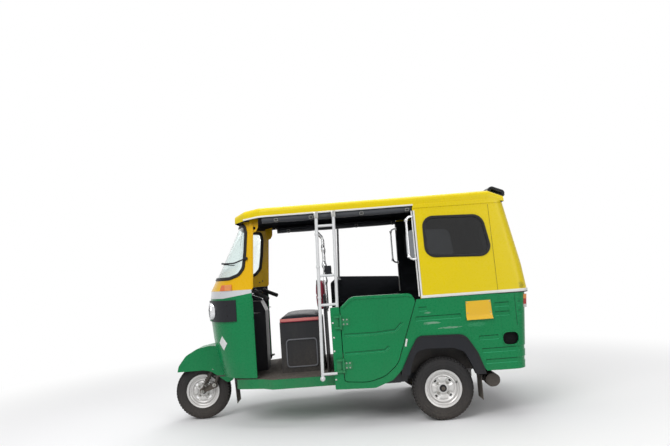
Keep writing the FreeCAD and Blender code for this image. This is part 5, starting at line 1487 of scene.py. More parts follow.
def side_plate():
    """A blank yellow plate on the left side, its lower edge bent out, on four rivets."""
    y = from_left("side_panel_left", 2190, 870)[0].y - 0.001
    middle, low, high, fold = 2319, 749, 891, 778

    def place(u, v):
        z = low + (high - low) * v
        out = 0.018 * ((fold - z) / (fold - low)) if z < fold else 0.0
        wide = 102 - 6 * v
        return at(middle + (2 * u - 1) * wide, 0, z) + Vector((0, y - 0.002 - out, 0))

    shape = bmesh.new()
    surface(shape, place, 12, 14)
    piece = finish_piece("side_plate", shape, "plate", "green_paint")
    face_out_mesh(piece.data, Vector((0, -1, 0)))
    thicken(piece, 0.0018, offset=-1.0, bevel=0.0004)
    heads("side_plate_rivets", [(at(middle + dx, 0, z) + Vector((0, y - 0.0025, 0)), (0, -1, 0))
                                for dx in (-88, 88) for z in (800, 880)])


# Headlamps and other lamps

# The headlamp's glass as (radius, forward) in metres
LAMP_GLASS = [(0.0640, -0.006), (0.0600, -0.0015), (0.050, 0.0035), (0.036, 0.0075),
              (0.018, 0.0100), (0.0, 0.0108), (0.0, 0.0082), (0.018, 0.0074),
              (0.036, 0.0049), (0.050, 0.0009), (0.0600, -0.0042), (0.0625, -0.0085)]

def axis_span(name, axis, near):
    """Lowest and highest place along an axis of the part of a node close to a point."""
    along = [(v.co - near).dot(axis) for v in NODES[name].data.vertices
             if (v.co - near).length < 0.14]
    return min(along), max(along)


def headlamps():
    """Each headlamp: chrome bezel, domed glass over a reflector, and a bulb cap."""
    for side, name in SIDES:
        axis = Vector((-0.957, side * 0.29, 0)).normalized()
        centre = at(178, side * 300, 934)
        low, high = axis_span("headlamp_lenses", axis, centre)
        face = centre + axis * high
        deep = high - low
        bezel = [(0.0655, -deep), (0.0755, -deep), (0.0765, -0.012), (0.0750, -0.003),
                 (0.0715, 0.002), (0.0665, 0.001), (0.0640, -0.003), (0.0635, -0.010),
                 (0.0655, -0.014)]
        bowl = [(0.0, -deep + 0.001), (0.012, -deep + 0.0015), (0.030, -deep + 0.004),
                (0.046, -deep + 0.009), (0.058, -deep + 0.016), (0.0645, -0.006),
                (0.0650, -deep), (0.0, -deep)]
        cap = [(0.0, -deep + 0.022), (0.006, -deep + 0.021), (0.0095, -deep + 0.017),
               (0.0100, -deep + 0.002), (0.0, -deep + 0.001)]
        for part, profile, steps, key, slot in (
                ("bezel", bezel, 64, "chrome", "bright_tube"),
                ("bowl", bowl, 48, "reflector", "lamp_glass"),
                ("bulb", cap, 24, "bulb", "lamp_glass"),
                ("glass", LAMP_GLASS, 64, "lamp_glass", "lamp_glass")):
            shape = bmesh.new()
            is_bezel = part == "bezel"
            lathe(shape, profile, face, axis, steps, closed=is_bezel)
            closed_piece("headlamp_%s_%s" % (part, name), shape, key, slot,
                         replaces=["headlamp_lenses"] if is_bezel else ())


def lamp_details():
    """Paler halves of the indicators and the tail lamps."""
    low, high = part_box("indicator_lamps")
    middle = (low.x + high.x) / 2 - 0.004
    copy_of_part("indicator_rear_half", "indicator_lamps", "pale_amber", "indicator_glass",
                 [(Vector((middle, 0, 0)), Vector((-1, 0, 0)))])
    low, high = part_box("tail_lamps")
    top = (Vector((0, 0, high.z - 0.032)), Vector((0, 0, -1)))
    foot = (Vector((0, 0, low.z + 0.024)), Vector((0, 0, 1)))
    for side, name in SIDES:
        half = (Vector((0, 0, 0)), Vector((0, -side, 0)))
        copy_of_part("tail_amber_" + name, "tail_lamps", "pale_amber", "tail_glass", [half, top])
        copy_of_part("tail_clear_" + name, "tail_lamps", "clear_lens", "tail_glass", [half, foot])


# Seats

LEAN_BACK = 82 / 550


def shaped(sections):
    """A solid through closed rings of points."""
    def build(shape):
        rings = [[shape.verts.new(p) for p in ring] for ring in sections]
        bridge(shape, rings)
        cap_ends(shape, rings)
        bmesh.ops.recalc_face_normals(shape, faces=shape.faces)
        bmesh.ops.bevel(shape, geom=list(shape.edges), offset=0.014, segments=3, profile=0.6,
                        affect="EDGES")
    return build


def around_box(low, high, z, out, radius):
    """A closed path round a box at one height."""
    corners = [(low.x - out, low.y - out), (high.x + out, low.y - out),
               (high.x + out, high.y + out), (low.x - out, high.y + out)]
    return round_corners([Vector((x, y, z)) for x, y in corners], radius, 6, closed=True)


def driver_seat():
    """Black cushion with pink piping and a red backrest on the cabin wall."""
    low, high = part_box("driver_cushion")
    inner = Vector((0.007, 0.007, 0))
    mid = (low + high) / 2
    half = (high - low) / 2

    def crown(co):
        a = 1 - ((co.x - mid.x) / half.x) ** 2
        b = 1 - ((co.y - mid.y) / half.y) ** 4
        up = max(0.0, (co.z - low.z) / (high.z - low.z))
        return Vector((0, 0, 0.006 * max(a, 0) * max(b, 0) * up))

    padding("driver_cushion", padded_box(low + inner, high - inner - Vector((0, 0, 0.007)), 0.014),
            "seat_cloth", 2.0, [crown])
    radius = sizes().piping / 2
    swept_piece("driver_band", around_box(low, high, low.z + 0.019, 0.0, 0.022),
                rounded_bar(0.007, 0.024, 0.45, 3), "piping", "seat_cloth", closed=True, smooth=60)
    swept_piece("driver_piping", around_box(low, high, low.z + 0.006, 0.001, 0.022),
                circle(radius * 0.7, 8), "red_cloth", "seat_cloth", closed=True, smooth=60)
    low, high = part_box("driver_backrest")
    inner = Vector((0.007, 0.008, 0.008))
    padding("driver_backrest", padded_box(low + inner, high - inner + Vector((0.007, 0, 0)), 0.016),
            "red_cloth", 2.0, [channel([(low.z + high.z) / 2], 2, 0.007, 0.006, (-1, 0, 0))])
    path = round_corners([Vector((low.x + 0.012, y, z)) for y, z in
                          [(low.y, low.z), (high.y, low.z), (high.y, high.z), (low.y, high.z)]],
                         0.03, 6, closed=True)
    path = [Vector((p.x, p.y * 0.985, (p.z - 1.002) * 0.98 + 1.002)) for p in path]
    swept_piece("backrest_piping", path, circle(radius * 0.8, 8), "seat_cloth", closed=True,
                smooth=60)


def passenger_bench():
    """Bench cushion and backrest, each sewn in channels, with an edge cord in front."""
    low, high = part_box("bench_cushion")
    inset = Vector((0.008, 0.008, 0))
    seams = [-0.380, -0.190, 0.0, 0.190, 0.380]

    def crown(co):
        across = (co.x - low.x) / (high.x - low.x)
        return Vector((0, 0, 0.012 * math.sin(math.pi * min(max(across, 0), 1)) *
                       max(0.0, (co.z - low.z) / (high.z - low.z)) - 0.004))

    padding("bench_cushion", padded_box(low + inset, high - inset - Vector((0, 0, 0.012)), 0.024),
            "seat_cloth", 1.6, [crown, channel(seams, 1, 0.007, 0.009, (0, 0, 1), low.z + 0.03)],
            voxel=0.008)
    path = [Vector((low.x + 0.002, y, high.z - 0.020)) for y in spaced(-0.545, 0.545, 30)]
    swept_piece("bench_piping", path, circle(sizes().piping / 2, 8), "seat_cloth", smooth=60)
    foot, top, wall = 802, 1228, 2350
    lean = (top - foot) * LEAN_BACK
    rings = [[at(x, y, z) for x, z in [(wall - 86, foot), (wall - 2, foot),
                                       (wall - 2 + lean, top), (wall - 68 + lean, top)]]
             for y in (-553, 553)]
    padding("bench_backrest", shaped(rings), "seat_cloth", 1.6,
            [channel(seams, 1, 0.007, 0.009, (-1, 0, 0.15))], voxel=0.008)


# Curtains, rolled up and strapped

ROLL_RADIUS = 0.0335

def flat_part(stretch, angle):
    """The half of the stretch by which a drawn-out roll's side lies off its middle."""
    return stretch * (0.5 if math.cos(angle) > 0 else -0.5)


def spiral_roll(name, start, end, turns, straps, node_name, stretch=Vector((0, 0, 0)),
                up=(0, 0, 1)):
    """A sheet rolled round the line from start to end, drawn in where straps hold it."""
    along = (end - start).normalized()
    side = along.cross(Vector(up)).normalized()
    raised = side.cross(along)
    long = (end - start).length
    first = 0.010

    def place(u, v):
        angle = 2 * math.pi * turns * v
        size = first + (ROLL_RADIUS - first) * v
        pinch = 1 - sum(0.10 * math.exp(-((u * long - spot) / 0.03) ** 2) for spot in straps)
        wave = noise.noise(Vector((u * long * 9, math.cos(angle) * 0.8, math.sin(angle) * 0.8)))
        size *= pinch * (1 + 0.035 * wave - 0.02)
        drift = 0.004 * (v - 0.5) * math.sin(u * 5.0)
        return (start + along * (long * u + drift) + side * math.cos(angle) * size
                + raised * math.sin(angle) * size + flat_part(stretch, angle) * pinch)

    shape = bmesh.new()
    surface(shape, place, 40, turns * 18)
    area = sum(face.calc_area() for face in shape.faces)
    piece = finish_piece(name, shape, "curtain_cloth", smooth=60)
    thicken(piece, 0.0012, offset=0.0)
    piece.data.shade_smooth()
    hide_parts(node_name)


def strap_round(name, centre, along, radius, width, up=(0, 0, 1), stretch=Vector((0, 0, 0))):
    """A webbing band round a roll, with a buckle."""
    side = along.cross(Vector(up)).normalized()
    raised = side.cross(along)
    path, normals = [], []
    for i in range(36):
        angle = 2 * math.pi * i / 36
        out = side * math.cos(angle) + raised * math.sin(angle)
        path.append(centre + out * radius + flat_part(stretch, angle))
        normals.append(out)
    swept_piece(name, path, rounded_bar(width, 0.0024, 0.4, 2), "webbing", "curtain_cloth",
                closed=True, up=normals)
    spot = centre + side * radius * 0.94 - raised * radius * 0.34
    out = (side * 0.94 - raised * 0.34).normalized()
    upright = out.cross(along)
    corners = [spot + along * a * (width / 2 + 0.004) + upright * b * 0.010 + out * 0.0035
               for a, b in [(-1, -1), (1, -1), (1, 1), (-1, 1)]]
    swept_piece(name + "_buckle", round_corners(corners, 0.003, 3, closed=True), circle(0.0018, 8),
                "zinc", "bright_tube", closed=True, up=tuple(out))


def roll_ends(side):
    """The two ends of the axis of a side roll, from its CAD solid."""
    places = [v.co for v in NODES["side_curtain_rolls"].data.vertices if v.co.y * side > 0]
    low = min(p.x for p in places)
    high = max(p.x for p in places)
    ends = []
    for x in (low, high):
        ring = [p for p in places if abs(p.x - x) < 0.003]
        ends.append(Vector((x, sum(p.y for p in ring) / len(ring),
                            (max(p.z for p in ring) + min(p.z for p in ring)) / 2)))
    return ends


def curtains():
    """The side rolls and the rear roll, each with its straps."""
    for side, name in SIDES:
        start, end = roll_ends(side)
        straps = [0.115, 0.395, 0.80, 1.165]
        along = (end - start).normalized()
        spiral_roll("curtain_roll_" + name, start, end, 6, straps, "side_curtain_rolls")
        for number, spot in enumerate(straps):
            strap_round("curtain_strap_%s_%d" % (name, number), start + along * spot, along,
                        ROLL_RADIUS * 0.915 + 0.0015, 0.020)
    low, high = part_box("rear_curtain_roll")
    front = at(2556, 0, 1763)
    back = at(2628, 0, 1733)
    middle = (front + back) / 2
    slope = (back - front).normalized()
    start = Vector((middle.x, low.y + 0.003, middle.z))
    end = Vector((middle.x, high.y - 0.003, middle.z))
    up = slope.cross(Vector((0, 1, 0)))
    if up.z < 0:
        up = -up
    straps = [0.14, 0.52, 0.90]
    stretch = Vector((0, 1, 0)).cross(up).normalized() * (back - front).length
    spiral_roll("rear_curtain_cloth", start, end, 5, straps, "rear_curtain_roll", stretch, up)
    for number, spot in enumerate(straps):
        strap_round("rear_strap_%d" % number, start + Vector((0, spot, 0)), Vector((0, 1, 0)),
                    0.0322, 0.022, up, stretch * 0.9)


# Fittings of the cabin

def handles():
    """Turned collars at both ends of each grab handle's bar, and a turned flange at each of its
    ends.
    """
    collar = [(9.6, -14), (13.5, -11), (15.5, -4), (14.0, 3), (11.0, 12), (9.6, 16)]
    for side, name in SIDES:
        shape = bmesh.new()
        foot = at(1822, side * 628, 1272)
        top = at(1822, side * 622.6, 1556)
        along = (top - foot).normalized()
        turned(shape, foot, along, collar)
        turned(shape, top, -along, collar)
        for point in (at(1877, side * 637.5, 1245), at(1877, side * 605, 1585)):
            turned(shape, point, (-1, 0, 0), [(9.6, 6), (16, 3), (19, 0), (19, -2), (0, -2)])
        closed_piece("handle_collars_" + name, shape, "bright_tube")


def guard_fittings():
    """Clamps at the head of the guard, collars on its poles and the screws that hold them."""
    shape = bmesh.new()
    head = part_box("guard_ladder")[1].z * 1000 - 28
    spots = []
    for x in (1112, 1250):
        top = at(x, -600, head)
        block(shape, top + Vector((-0.017, -0.022, -0.024)), top + Vector((0.017, -0.0125, 0.030)),
              0.003)
        spots += [(top + Vector((0, -0.0225, dz)), (0, -1, 0)) for dz in (-0.014, 0.018)]
    closed_piece("guard_clamps", shape, "zinc", "white_tube")
    heads("guard_bolts", spots)
    rings = bmesh.new()
    for z in (1000, 1240, 1500):
        share = (z - 387) / (1690 - 387)
        lean = (z - 915) * 33 / 715
        turned(rings, at(1080 + 32 * share, -648 + lean, z), (0, 0, 1),
               [(12.6, -12), (15.0, -9), (16.0, 0), (15.0, 9), (12.6, 12)], 24)
    closed_piece("guard_collars", rings, "white_tube")


def meter():
    """The small black instrument on the bar behind the driver, its window blank."""
    shape = bmesh.new()
    block(shape, at(1151, -214, 1168), at(1199, -128, 1250), 0.005, 3)
    block(shape, at(1136, -196, 1196), at(1153, -164, 1222), 0.003)
    closed_piece("meter_case", shape, "black_plastic")
    window = bmesh.new()
    block(window, at(1198, -204, 1204), at(1201, -138, 1238), 0.001)
    for y in (-190, -152):
        turned(window, at(1199, y, 1184), (1, 0, 0), [(6, 0), (6, 3), (4.5, 5), (0, 5)])
    closed_piece("meter_window", window, "dial", "black_plastic")


def far_pole():
    """The stay on the right between the roof rail and the half panel."""
    shape = bmesh.new()
    foot = at(1261, 640, 1109)
    top = at(1286, 596, 1662)
    along = (top - foot).normalized()
    sweep(shape, [foot, foot.lerp(top, 0.5), top], circle(0.011, 16))
    for point, facing in ((foot, along), (top, -along)):
        turned(shape, point + facing * 0.004, facing,
               [(0, -4), (20, -4), (20, 1), (15, 6), (11.5, 14)])
    closed_piece("right_stay", shape, "white_tube")


def handlebar_details():
    """Ribbed grips with flanges, levers, switch pods and the instrument on the clamp."""
    ribs, metal, pods = bmesh.new(), bmesh.new(), bmesh.new()
    for side in (-1, 1):
        inner = at(562, side * 274, 1059)
        outer = at(654, side * 353.5, 1011)
        along = (outer - inner).normalized()
        long = (outer - inner).length * 1000
        profile = [(0, 0), (16.2, 0), (22.0, 0), (22.0, 5), (17.5, 7)]
        for i in range(22):
            spot = 9 + (long - 18) * i / 22
            step = (long - 18) / 22
            profile += [(17.9, spot + step * 0.15), (17.9, spot + step * 0.55),
                        (16.9, spot + step * 0.65), (16.9, spot + step * 0.95)]
        profile += [(18.5, long - 5), (19.0, long), (16.0, long + 4), (0, long + 4.5)]
        turned(ribs, inner, along, profile, 24)
        pod = inner - along * 0.022
        turned(pods, pod, along, [(0, -18), (17, -18), (20, -15), (21, 0), (20, 16), (17, 19),
                                  (0, 19)], 24)
        block(pods, pod + Vector((-0.014, -0.012, 0.010)), pod + Vector((0.010, 0.012, 0.026)),
              0.003)
        start = pod + Vector((-0.012, 0, -0.004))
        path = round_corners([start, start + Vector((-0.040, side * 0.018, -0.004)),
                              outer + Vector((-0.052, side * -0.004, 0.010)),
                              outer + Vector((-0.040, side * 0.010, 0.004))], 0.02, 6)
        scales = [1.0 - 0.25 * math.sin(math.pi * i / (len(path) - 1)) for i in range(len(path))]
        sweep(metal, path, rounded_bar(0.013, 0.006, 0.45, 3), scales=scales)
        bmesh.ops.create_uvsphere(metal, u_segments=14, v_segments=8, radius=0.0075,
                                  matrix=Matrix.Translation(path[-1]))
    for shape, name, key in ((ribs, "handle_grips", "grip"), (metal, "levers", "chrome"),
                             (pods, "switch_pods", "black_plastic")):
        closed_piece(name, shape, key, "black_plastic", "steering")
    centre = at(424, 0, 1048)
    axis = Vector((0.42, 0, 0.9)).normalized()
    for name, key, profile in (
            ("dial_case", "black_plastic", [(0, 0), (30, 0), (46, 8), (50, 14), (50, 26), (46, 29),
                                            (44, 26), (0, 26)]),
            ("dial_face", "dial", [(0, 26.2), (43.5, 26.2), (43.5, 27.4), (0, 27.4)])):
        turned_piece(name, centre, axis, profile, 40, key, "black_plastic", "steering")


def floor_fittings():
    """Ribbed rubber mat, brake pedal and the edging of the hatch in the driver's box, whose lighter
    grey is a painted highlight.
    """
    x0, x1, y0, y1, base_z = 612, 728, -470, 470, 385.4

    def place(u, v):
        rib = 2.2 if (v * 62) % 1 < 0.5 else 0.9
        edge = min(u, 1 - u, v, 1 - v) < 0.001
        return at(x0 + (x1 - x0) * u, y0 + (y1 - y0) * v, base_z + (0.2 if edge else rib + 1.2))

    mat = bmesh.new()
    surface(mat, place, 6, 124)
    piece = finish_piece("floor_mat", mat, "mat", "floor_paint", smooth=0)
    face_out_mesh(piece.data, Vector((0, 0, 1)))
    pedal = bmesh.new()
    sweep(pedal, round_corners([at(560, 190, 386), at(560, 190, 440), at(596, 190, 476)], 0.03, 6),
          rounded_bar(0.022, 0.010, 0.3, 2), up=(0, 1, 0))
    block(pedal, at(584, 162, 470), at(618, 218, 480), 0.003)
    for i in range(5):
        block(pedal, at(588 + 6 * i, 165, 479.5), at(590.5 + 6 * i, 215, 482.5), 0.0008, 1)
    closed_piece("brake_pedal", pedal, "black_plastic", "frame_paint")
    # Lighter grey bead round the hatch: a painted highlight on its rim.
    hatch = [at(x, -310.5, z) for x, z in ((784, 432), (1036, 432), (1036, 656), (784, 656))]
    swept_piece("hatch_edging", round_corners(hatch, 0.030, 7, closed=True), circle(0.0065, 10),
                "hatch_highlight_grey", "black_plastic", closed=True, up=(0, 1, 0))


# Linings

def linings():
    """Dark covering inside the roof, quarters, back, side panels and nose, and on the floor."""
    middle = at(1500, 0, 1250)

    def faces_in(centre, normal, least):
        return (middle - centre).normalized().dot(normal) > least

    skin("roof_lining", "roof_panel", lambda c, n: faces_in(c, n, 0.03) and n.z < 0.4,
         "lining", "seat_cloth")
    for names, wanted in (
            (("quarter_upper_left", "quarter_upper_right", "rear_panel_upper"),
             lambda c, n: faces_in(c, n, 0.25) and abs(n.z) < 0.6 and c.z > 0.95),
            (("side_panel_left", "side_panel_right"),
             lambda c, n: faces_in(c, n, 0.02) and abs(n.y) > 0.8 and n.y * c.y < 0),
            (("front_shield", "nose_band"), lambda c, n: faces_in(c, n, 0.3) and c.z > 0.4)):
        for name in names:
            skin(name + "_lining", name, wanted, "lining", "seat_cloth")
    skin("floor_covering", "floor_pan", lambda c, n: n.z > 0.95 and c.z > 0.380, "mat",
         "floor_paint")


def pillar_fittings():
    """Screws on the inner faces of the pillars and the brackets at their heads, each with a dark
    eyelet whose middle is painted shade standing for its hole.
    """
    heads("pillar_screws", [touch("front_cowl", at(x, side * 380, z), (0, side, 0))
                            for side in (-1, 1)
                            for x, z in ((522, 1516), (511, 1346), (478, 1143), (505, 1155))])
    outline = [at(x, 0, z) for x, z in ((562, 1662), (634, 1676), (630, 1600), (614, 1570),
                                        (588, 1556), (556, 1556))]
    for side, name in SIDES:
        plate = bmesh.new()
        slab(plate, outline, (0, side * 0.494, 0), (0, side * 0.499, 0), 0.0012)
        closed_piece("pillar_bracket_" + name, plate, "cowl_paint")
        # Dark eyelet: painted shade in the bracket's hole.
        turned_piece("pillar_eye_" + name, at(598, side * 499, 1594), (0, side, 0),
                     [(0, 0.4), (8.5, 0.4), (9, 1.2), (12.5, 1.2), (12.5, -0.5), (0, -0.5)], 24,
                     "hole", "black_plastic")


def rear_straps():
    """Two webbing straps that run down the back from the rear roll."""
    for side, name in SIDES:
        spots = [from_rear("rear_panel_upper", side * 455, z) for z in spaced(1640, BELT + 34, 18)]
        strip("tie_strap_" + name, spots, 0.026, 0.005, "webbing", "curtain_cloth")


# Door, lid and body fasteners

HINGE_X = 1247
HINGE_HEIGHTS = (474, 803)

# The two pressed lines of the door, as (x, z) corners in mm
DOOR_LINES = [[(1264, 704), (1505, 702), (1660, 713), (1719, 770)],
              [(1264, 564), (1455, 565), (1571, 568), (1604, 596)]]


def door_lines():
    """Painted shadow under the upper wall of each pressed line, and a painted highlight on its
    lower wall.
    """
    for kind, lift, width in (("painted_shadow", 7.0, 0.0045), ("worn", -7.2, 0.003)):
        rows = [[from_left("door_panel", x0 + (x1 - x0) * i / 7, z0 + (z1 - z0) * i / 7 + lift)
                 for (x0, z0), (x1, z1) in zip(corners, corners[1:]) for i in range(7)]
                for corners in DOOR_LINES]
        thin_lines("door_line_" + kind, rows, width, 0.0012, "groove_" + kind, "door_left")


def door_fittings():
    """Striker and rolled top edge of the door, screws of its hinges and of the post."""
    foot, top = at(1731, -SIDE_Y - 1.5, 583), at(1746, -SIDE_Y - 1.5, 640)
    swept_piece("door_striker", [foot, foot.lerp(top, 0.5), top], rounded_bar(0.014, 0.005, 0.3, 3),
                "bead", "white_tube", up=(0, -1, 0))
    edge = []
    for x in spaced(1262, 1820, 46):
        z = last_met(700, 1040, lambda z: side_point("door_panel", x, z, -1) is not None)
        if x > 1700 and z < 955:
            break
        edge.append((at(x, -DOOR_Y, z - 13), Vector((0, -1, 0))))
    strip("door_top_roll", edge, 0.022, 0.009, "green_paint", body="door_left", inwards=0.3)
    heads("door_hinge_screws", [(at(HINGE_X + dx, -DOOR_Y - 6, z + dz), (0, -1, 0))
                                for z in HINGE_HEIGHTS for dx in (22, 48) for dz in (-17, 17)],
          "door_left")
    heads("door_post_screws", [(at(x, -SIDE_Y - 0.2, z), (0, -1, 0)) for x, z in
                               ((1186, 800), (1187, 688), (1183, 586), (1181, 371))])
    caps = bmesh.new()
    for z in HINGE_HEIGHTS:
        for end in (-1, 1):
            turned(caps, at(HINGE_X, -DOOR_Y - 11, z + end * 50), (0, 0, end),
                   [(9.0, 0), (9.4, 1), (8.5, 3), (4, 5), (0, 5.5)])
    closed_piece("hinge_pin_caps", caps, "hinge_green")


def rear_fittings():
    """Lid handle, hinge screws, and the intake's screen and lip, with a near-black sheet behind the
    screen as painted shade inside the intake.
    """
    point, normal = from_rear("engine_lid", 0, 500)
    handle = bmesh.new()
    turned(handle, point, normal,
           [(0, -2), (22, -2), (22, 2), (17, 5), (8, 5), (8, 11), (0, 11)], 28)
    block(handle, point + normal * 0.010 + Vector((-0.004, -0.026, -0.006)),
          point + normal * 0.010 + Vector((0.008, 0.026, 0.006)), 0.003)
    closed_piece("lid_lock", handle, "zinc", "hinge_green", "rear_lid")
    heads("lid_hinge_screws", [from_rear("engine_lid", y + dy, z) for y in (-240, 240)
                               for dy in (-16, 16) for z in (762, 786)], "rear_lid")
    mid_x, mid_z = 2546, 587
    ring = round_corners([at(mid_x + dx, -663.5, mid_z + dz) for dx, dz in
                          ((-64, -51), (64, -51), (64, 51), (-64, 51))], 0.048, 10, closed=True)
    swept_piece("intake_lip", ring, circle(0.0048, 10), "green_paint", closed=True, up=(0, 1, 0))
    mesh = bmesh.new()
    for i in range(9):
        dz = -44 + 11 * i
        reach = 62 * math.sqrt(max(0.0, 1 - (dz / 52) ** 2)) + 2
        block(mesh, at(mid_x - reach, -642, mid_z + dz - 1.2),
              at(mid_x + reach, -639, mid_z + dz + 1.2), 0.0004, 1)
    # Near-black sheet behind the slats: painted shade inside the intake.
    block(mesh, at(2480, -637.6, 533), at(2612, -636.6, 641), 0)
    closed_piece("intake_screen", mesh, "hole", "black_plastic")


def body_rivets():
    """Rivets along the roof rail and screws along the belt and the headlamp plates."""
    heads("roof_rivets", [from_left("roof_panel", x, roof_foot(x, side) + 20, side)
                          for side in (-1, 1) for x in range(560, 2481, 120)])
    heads("housing_screws", [from_left("headlamp_housings", 330, z, side)
                             for side in (-1, 1) for z in (900, 985)])
    heads("belt_screws", [from_left("side_panel_" + name, x, 915, side)
                          for side, name in SIDES for x in range(1900, 2381, 120)])


def flare_edges():
    """Rubber welt along the outer edge of each wheel arch."""
    for side, name in SIDES:
        path = round_corners([at(REAR_AXLE + x, side * 674, z) for x, z in
                              ((-306, 372), (-292, 420), (-222, 560), (-166, 648), (192, 636),
                               (268, 500), (303, 392), (318, 345))], 0.07, 8)
        swept_piece("arch_welt_" + name, path, circle(0.005, 8), "grip", "flap_rubber")


def mud_flaps():
    """Bolts through the flaps and moulded ribs down them."""
    section = rounded_bar(0.006, 0.004, 0.4, 2)
    low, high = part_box("front_mud_flap")
    ribs = bmesh.new()
    for i in range(5):
        y = -0.056 + 0.028 * i
        ends = [touch("front_mud_flap", Vector((high.x + 0.5, y, z)), (-1, 0, 0))[0]
                for z in (high.z - 0.07, low.z + 0.02)]
        sweep(ribs, ends, section, up=(1, 0, 0))
    closed_piece("front_flap_ribs", ribs, "flap_rubber", body="steering")
    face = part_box("rear_mud_flaps")[1].x
    ribs = bmesh.new()
    spots = []
    for side in (-1, 1):
        for i in range(6):
            y = side * (0.535 + 0.018 * i)
            sweep(ribs, [Vector((face, y, 0.345)), Vector((face, y, 0.160))], section, up=(1, 0, 0))
        spots += [(Vector((face, side * y, 0.375)), (1, 0, 0)) for y in (0.545, 0.585, 0.625)]
    closed_piece("rear_flap_ribs", ribs, "flap_rubber")
    heads("rear_flap_bolts", spots)


# Under the body

def coil(shape, start, end, radius, wire, turns):
    along, first, second = axes_for(end - start)
    long = (end - start).length
    path = []
    count = turns * 18
    for i in range(count + 1):
        share = i / count
        angle = 2 * math.pi * turns * share
        path.append(start + along * long * share
                    + (first * math.cos(angle) + second * math.sin(angle)) * radius)
    sweep(shape, path, circle(wire, 8), up=tuple(along))


def front_suspension():
    """Coil springs with their seats over the front dampers, nuts on the links and fork."""
    springs, seats, nuts = bmesh.new(), bmesh.new(), []
    for side in (-1, 1):
        foot = at(6, side * 82, 265)
        top = at(190.2, side * 82, 560)
        lean = (top - foot).normalized()
        coil(springs, foot + lean * 0.046, foot + lean * 0.188, 0.0195, 0.0034, 7)
        turned(seats, foot + lean * 0.043, lean, [(8.2, -5), (24, -4), (24, 0), (8.2, 1)], 28)
        turned(seats, foot + lean * 0.192, lean, [(14.2, -1), (24, 0), (24, 4), (14.2, 6)], 28)
        nuts.append((at(112, side * 96.2, 292), (0, side, 0)))
        nuts.append((at(0, side * 68.2, 238), (0, side, 0)))
    closed_piece("front_springs", springs, "frame_paint", body="steering")
    closed_piece("spring_seats", seats, "zinc", "frame_paint", "steering")
    heads("front_axle_nuts", nuts, "steering")


def engine_details():
    """Cooling fins, a cover with its screws, and ribs of the sump on the engine block."""
    low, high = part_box("engine_block")
    fins = bmesh.new()
    for i in range(12):
        x = low.x + 0.10 + i * 0.014
        for near, far in ((low.y - 0.016, low.y + 0.002), (high.y - 0.002, high.y + 0.016)):
            block(fins, Vector((x, near, low.z + 0.10)), Vector((x + 0.004, far, high.z - 0.03)),
                  0.001, 1)
    closed_piece("engine_fins", fins, "engine_metal", smooth=20)
    cover = bmesh.new()
    block(cover, Vector((high.x - 0.002, low.y + 0.03, low.z + 0.04)),
          Vector((high.x + 0.012, high.y - 0.03, high.z - 0.04)), 0.006, 3)
    mid_z = (low.z + high.z) / 2
    turned(cover, Vector((high.x + 0.010, 0.02, mid_z)), (1, 0, 0),
           [(0, 0), (74, 0), (78, 6), (74, 16), (50, 20), (24, 21), (0, 21)], 40)
    closed_piece("engine_cover", cover, "engine_metal")
    angles = [2 * math.pi * i / 8 for i in range(8)]
    heads("engine_cover_bolts", [(Vector((high.x + 0.012, 0.02 + 0.100 * math.cos(angle),
                                          mid_z + 0.098 * math.sin(angle))), (1, 0, 0))
                                 for angle in angles])
    sump = bmesh.new()
    for i in range(9):
        y = low.y + 0.04 + i * 0.0325
        block(sump, Vector((low.x + 0.04, y, low.z - 0.012)),
              Vector((high.x - 0.06, y + 0.005, low.z + 0.002)), 0.0012, 1)
    closed_piece("sump_ribs", sump, "engine_metal", smooth=20)


def exhaust_details():
    """Straps round the silencer and its rolled end seams."""
    foot = touch("exhaust", at(2390, -480, 100), (0, 0, 1))[0]
    top = touch("exhaust", at(2390, -480, 600), (0, 0, -1))[0]
    radius = (top.z - foot.z) / 2 * 1000
    centre = (top + foot) / 2
    bands = bmesh.new()
    for y in (-0.59, -0.53, -0.36, -0.31):
        turned(bands, Vector((centre.x, y, centre.z)), (0, 1, 0),
               [(radius - 1, -9), (radius + 2, -8), (radius + 2, 8), (radius - 1, 9)], 40)
    closed_piece("silencer_bands", bands, "exhaust_metal")


def under_bolts():
    """Bolts where the cross members meet the rails."""
    spots = []
    for x in (470, 800, 1160, 1560):
        for side in (-1, 1):
            for dx in (-14, 14):
                point = tree_of("chassis_frame").ray_cast(at(x + dx, side * 230, -200),
                                                          Vector((0, 0, 1)))[0]
                if point is not None:
                    spots.append((point, (0, 0, -1)))
    heads("frame_bolts", spots)


# Stage and camera

# Lights: name, place, what it points at, side and watts
LIGHTS = [("key", (-2.6, -4.6, 4.6), (0, 0, 0.9), 3.2, 205),
          ("fill", (3.8, -4.2, 2.4), (0, 0, 0.8), 3.0, 75),
          ("top", (0.2, 0.4, 5.4), (0, 0, 0.8), 4.5, 165),
          ("back", (0.5, 5.2, 3.0), (0, 0, 1.2), 4.0, 90)]


def camera_matrix():
    """The photo's view: its place, its tilt upwards, its turn and its roll."""
    pitch, turn, roll = (math.radians(a) for a in (5.149, -0.167, 4.2))
    right = Vector((1, 0, 0))
    ahead = Vector((0, math.cos(pitch), math.sin(pitch)))
    up = Vector((0, -math.sin(pitch), math.cos(pitch)))
    about = Matrix.Rotation(turn, 3, "Z")
    right, ahead, up = about @ right, about @ ahead, about @ up
    right_2 = right * math.cos(roll) - up * math.sin(roll)
    up_2 = right * math.sin(roll) + up * math.cos(roll)
    axes = Matrix((right_2, up_2, -ahead)).transposed().to_4x4()
    return Matrix.Translation(Vector((-0.003, -4.920, 1.190))) @ axes


def seen_only(tree):
    """1 for camera, mirror and glass rays, 0 for the rays that light the object."""
    path = tree.nodes.new("ShaderNodeLightPath")
    seen = maths(tree, "MAXIMUM", path.outputs["Is Camera Ray"], path.outputs["Is Glossy Ray"])
    return maths(tree, "MAXIMUM", seen, path.outputs["Is Transmission Ray"])


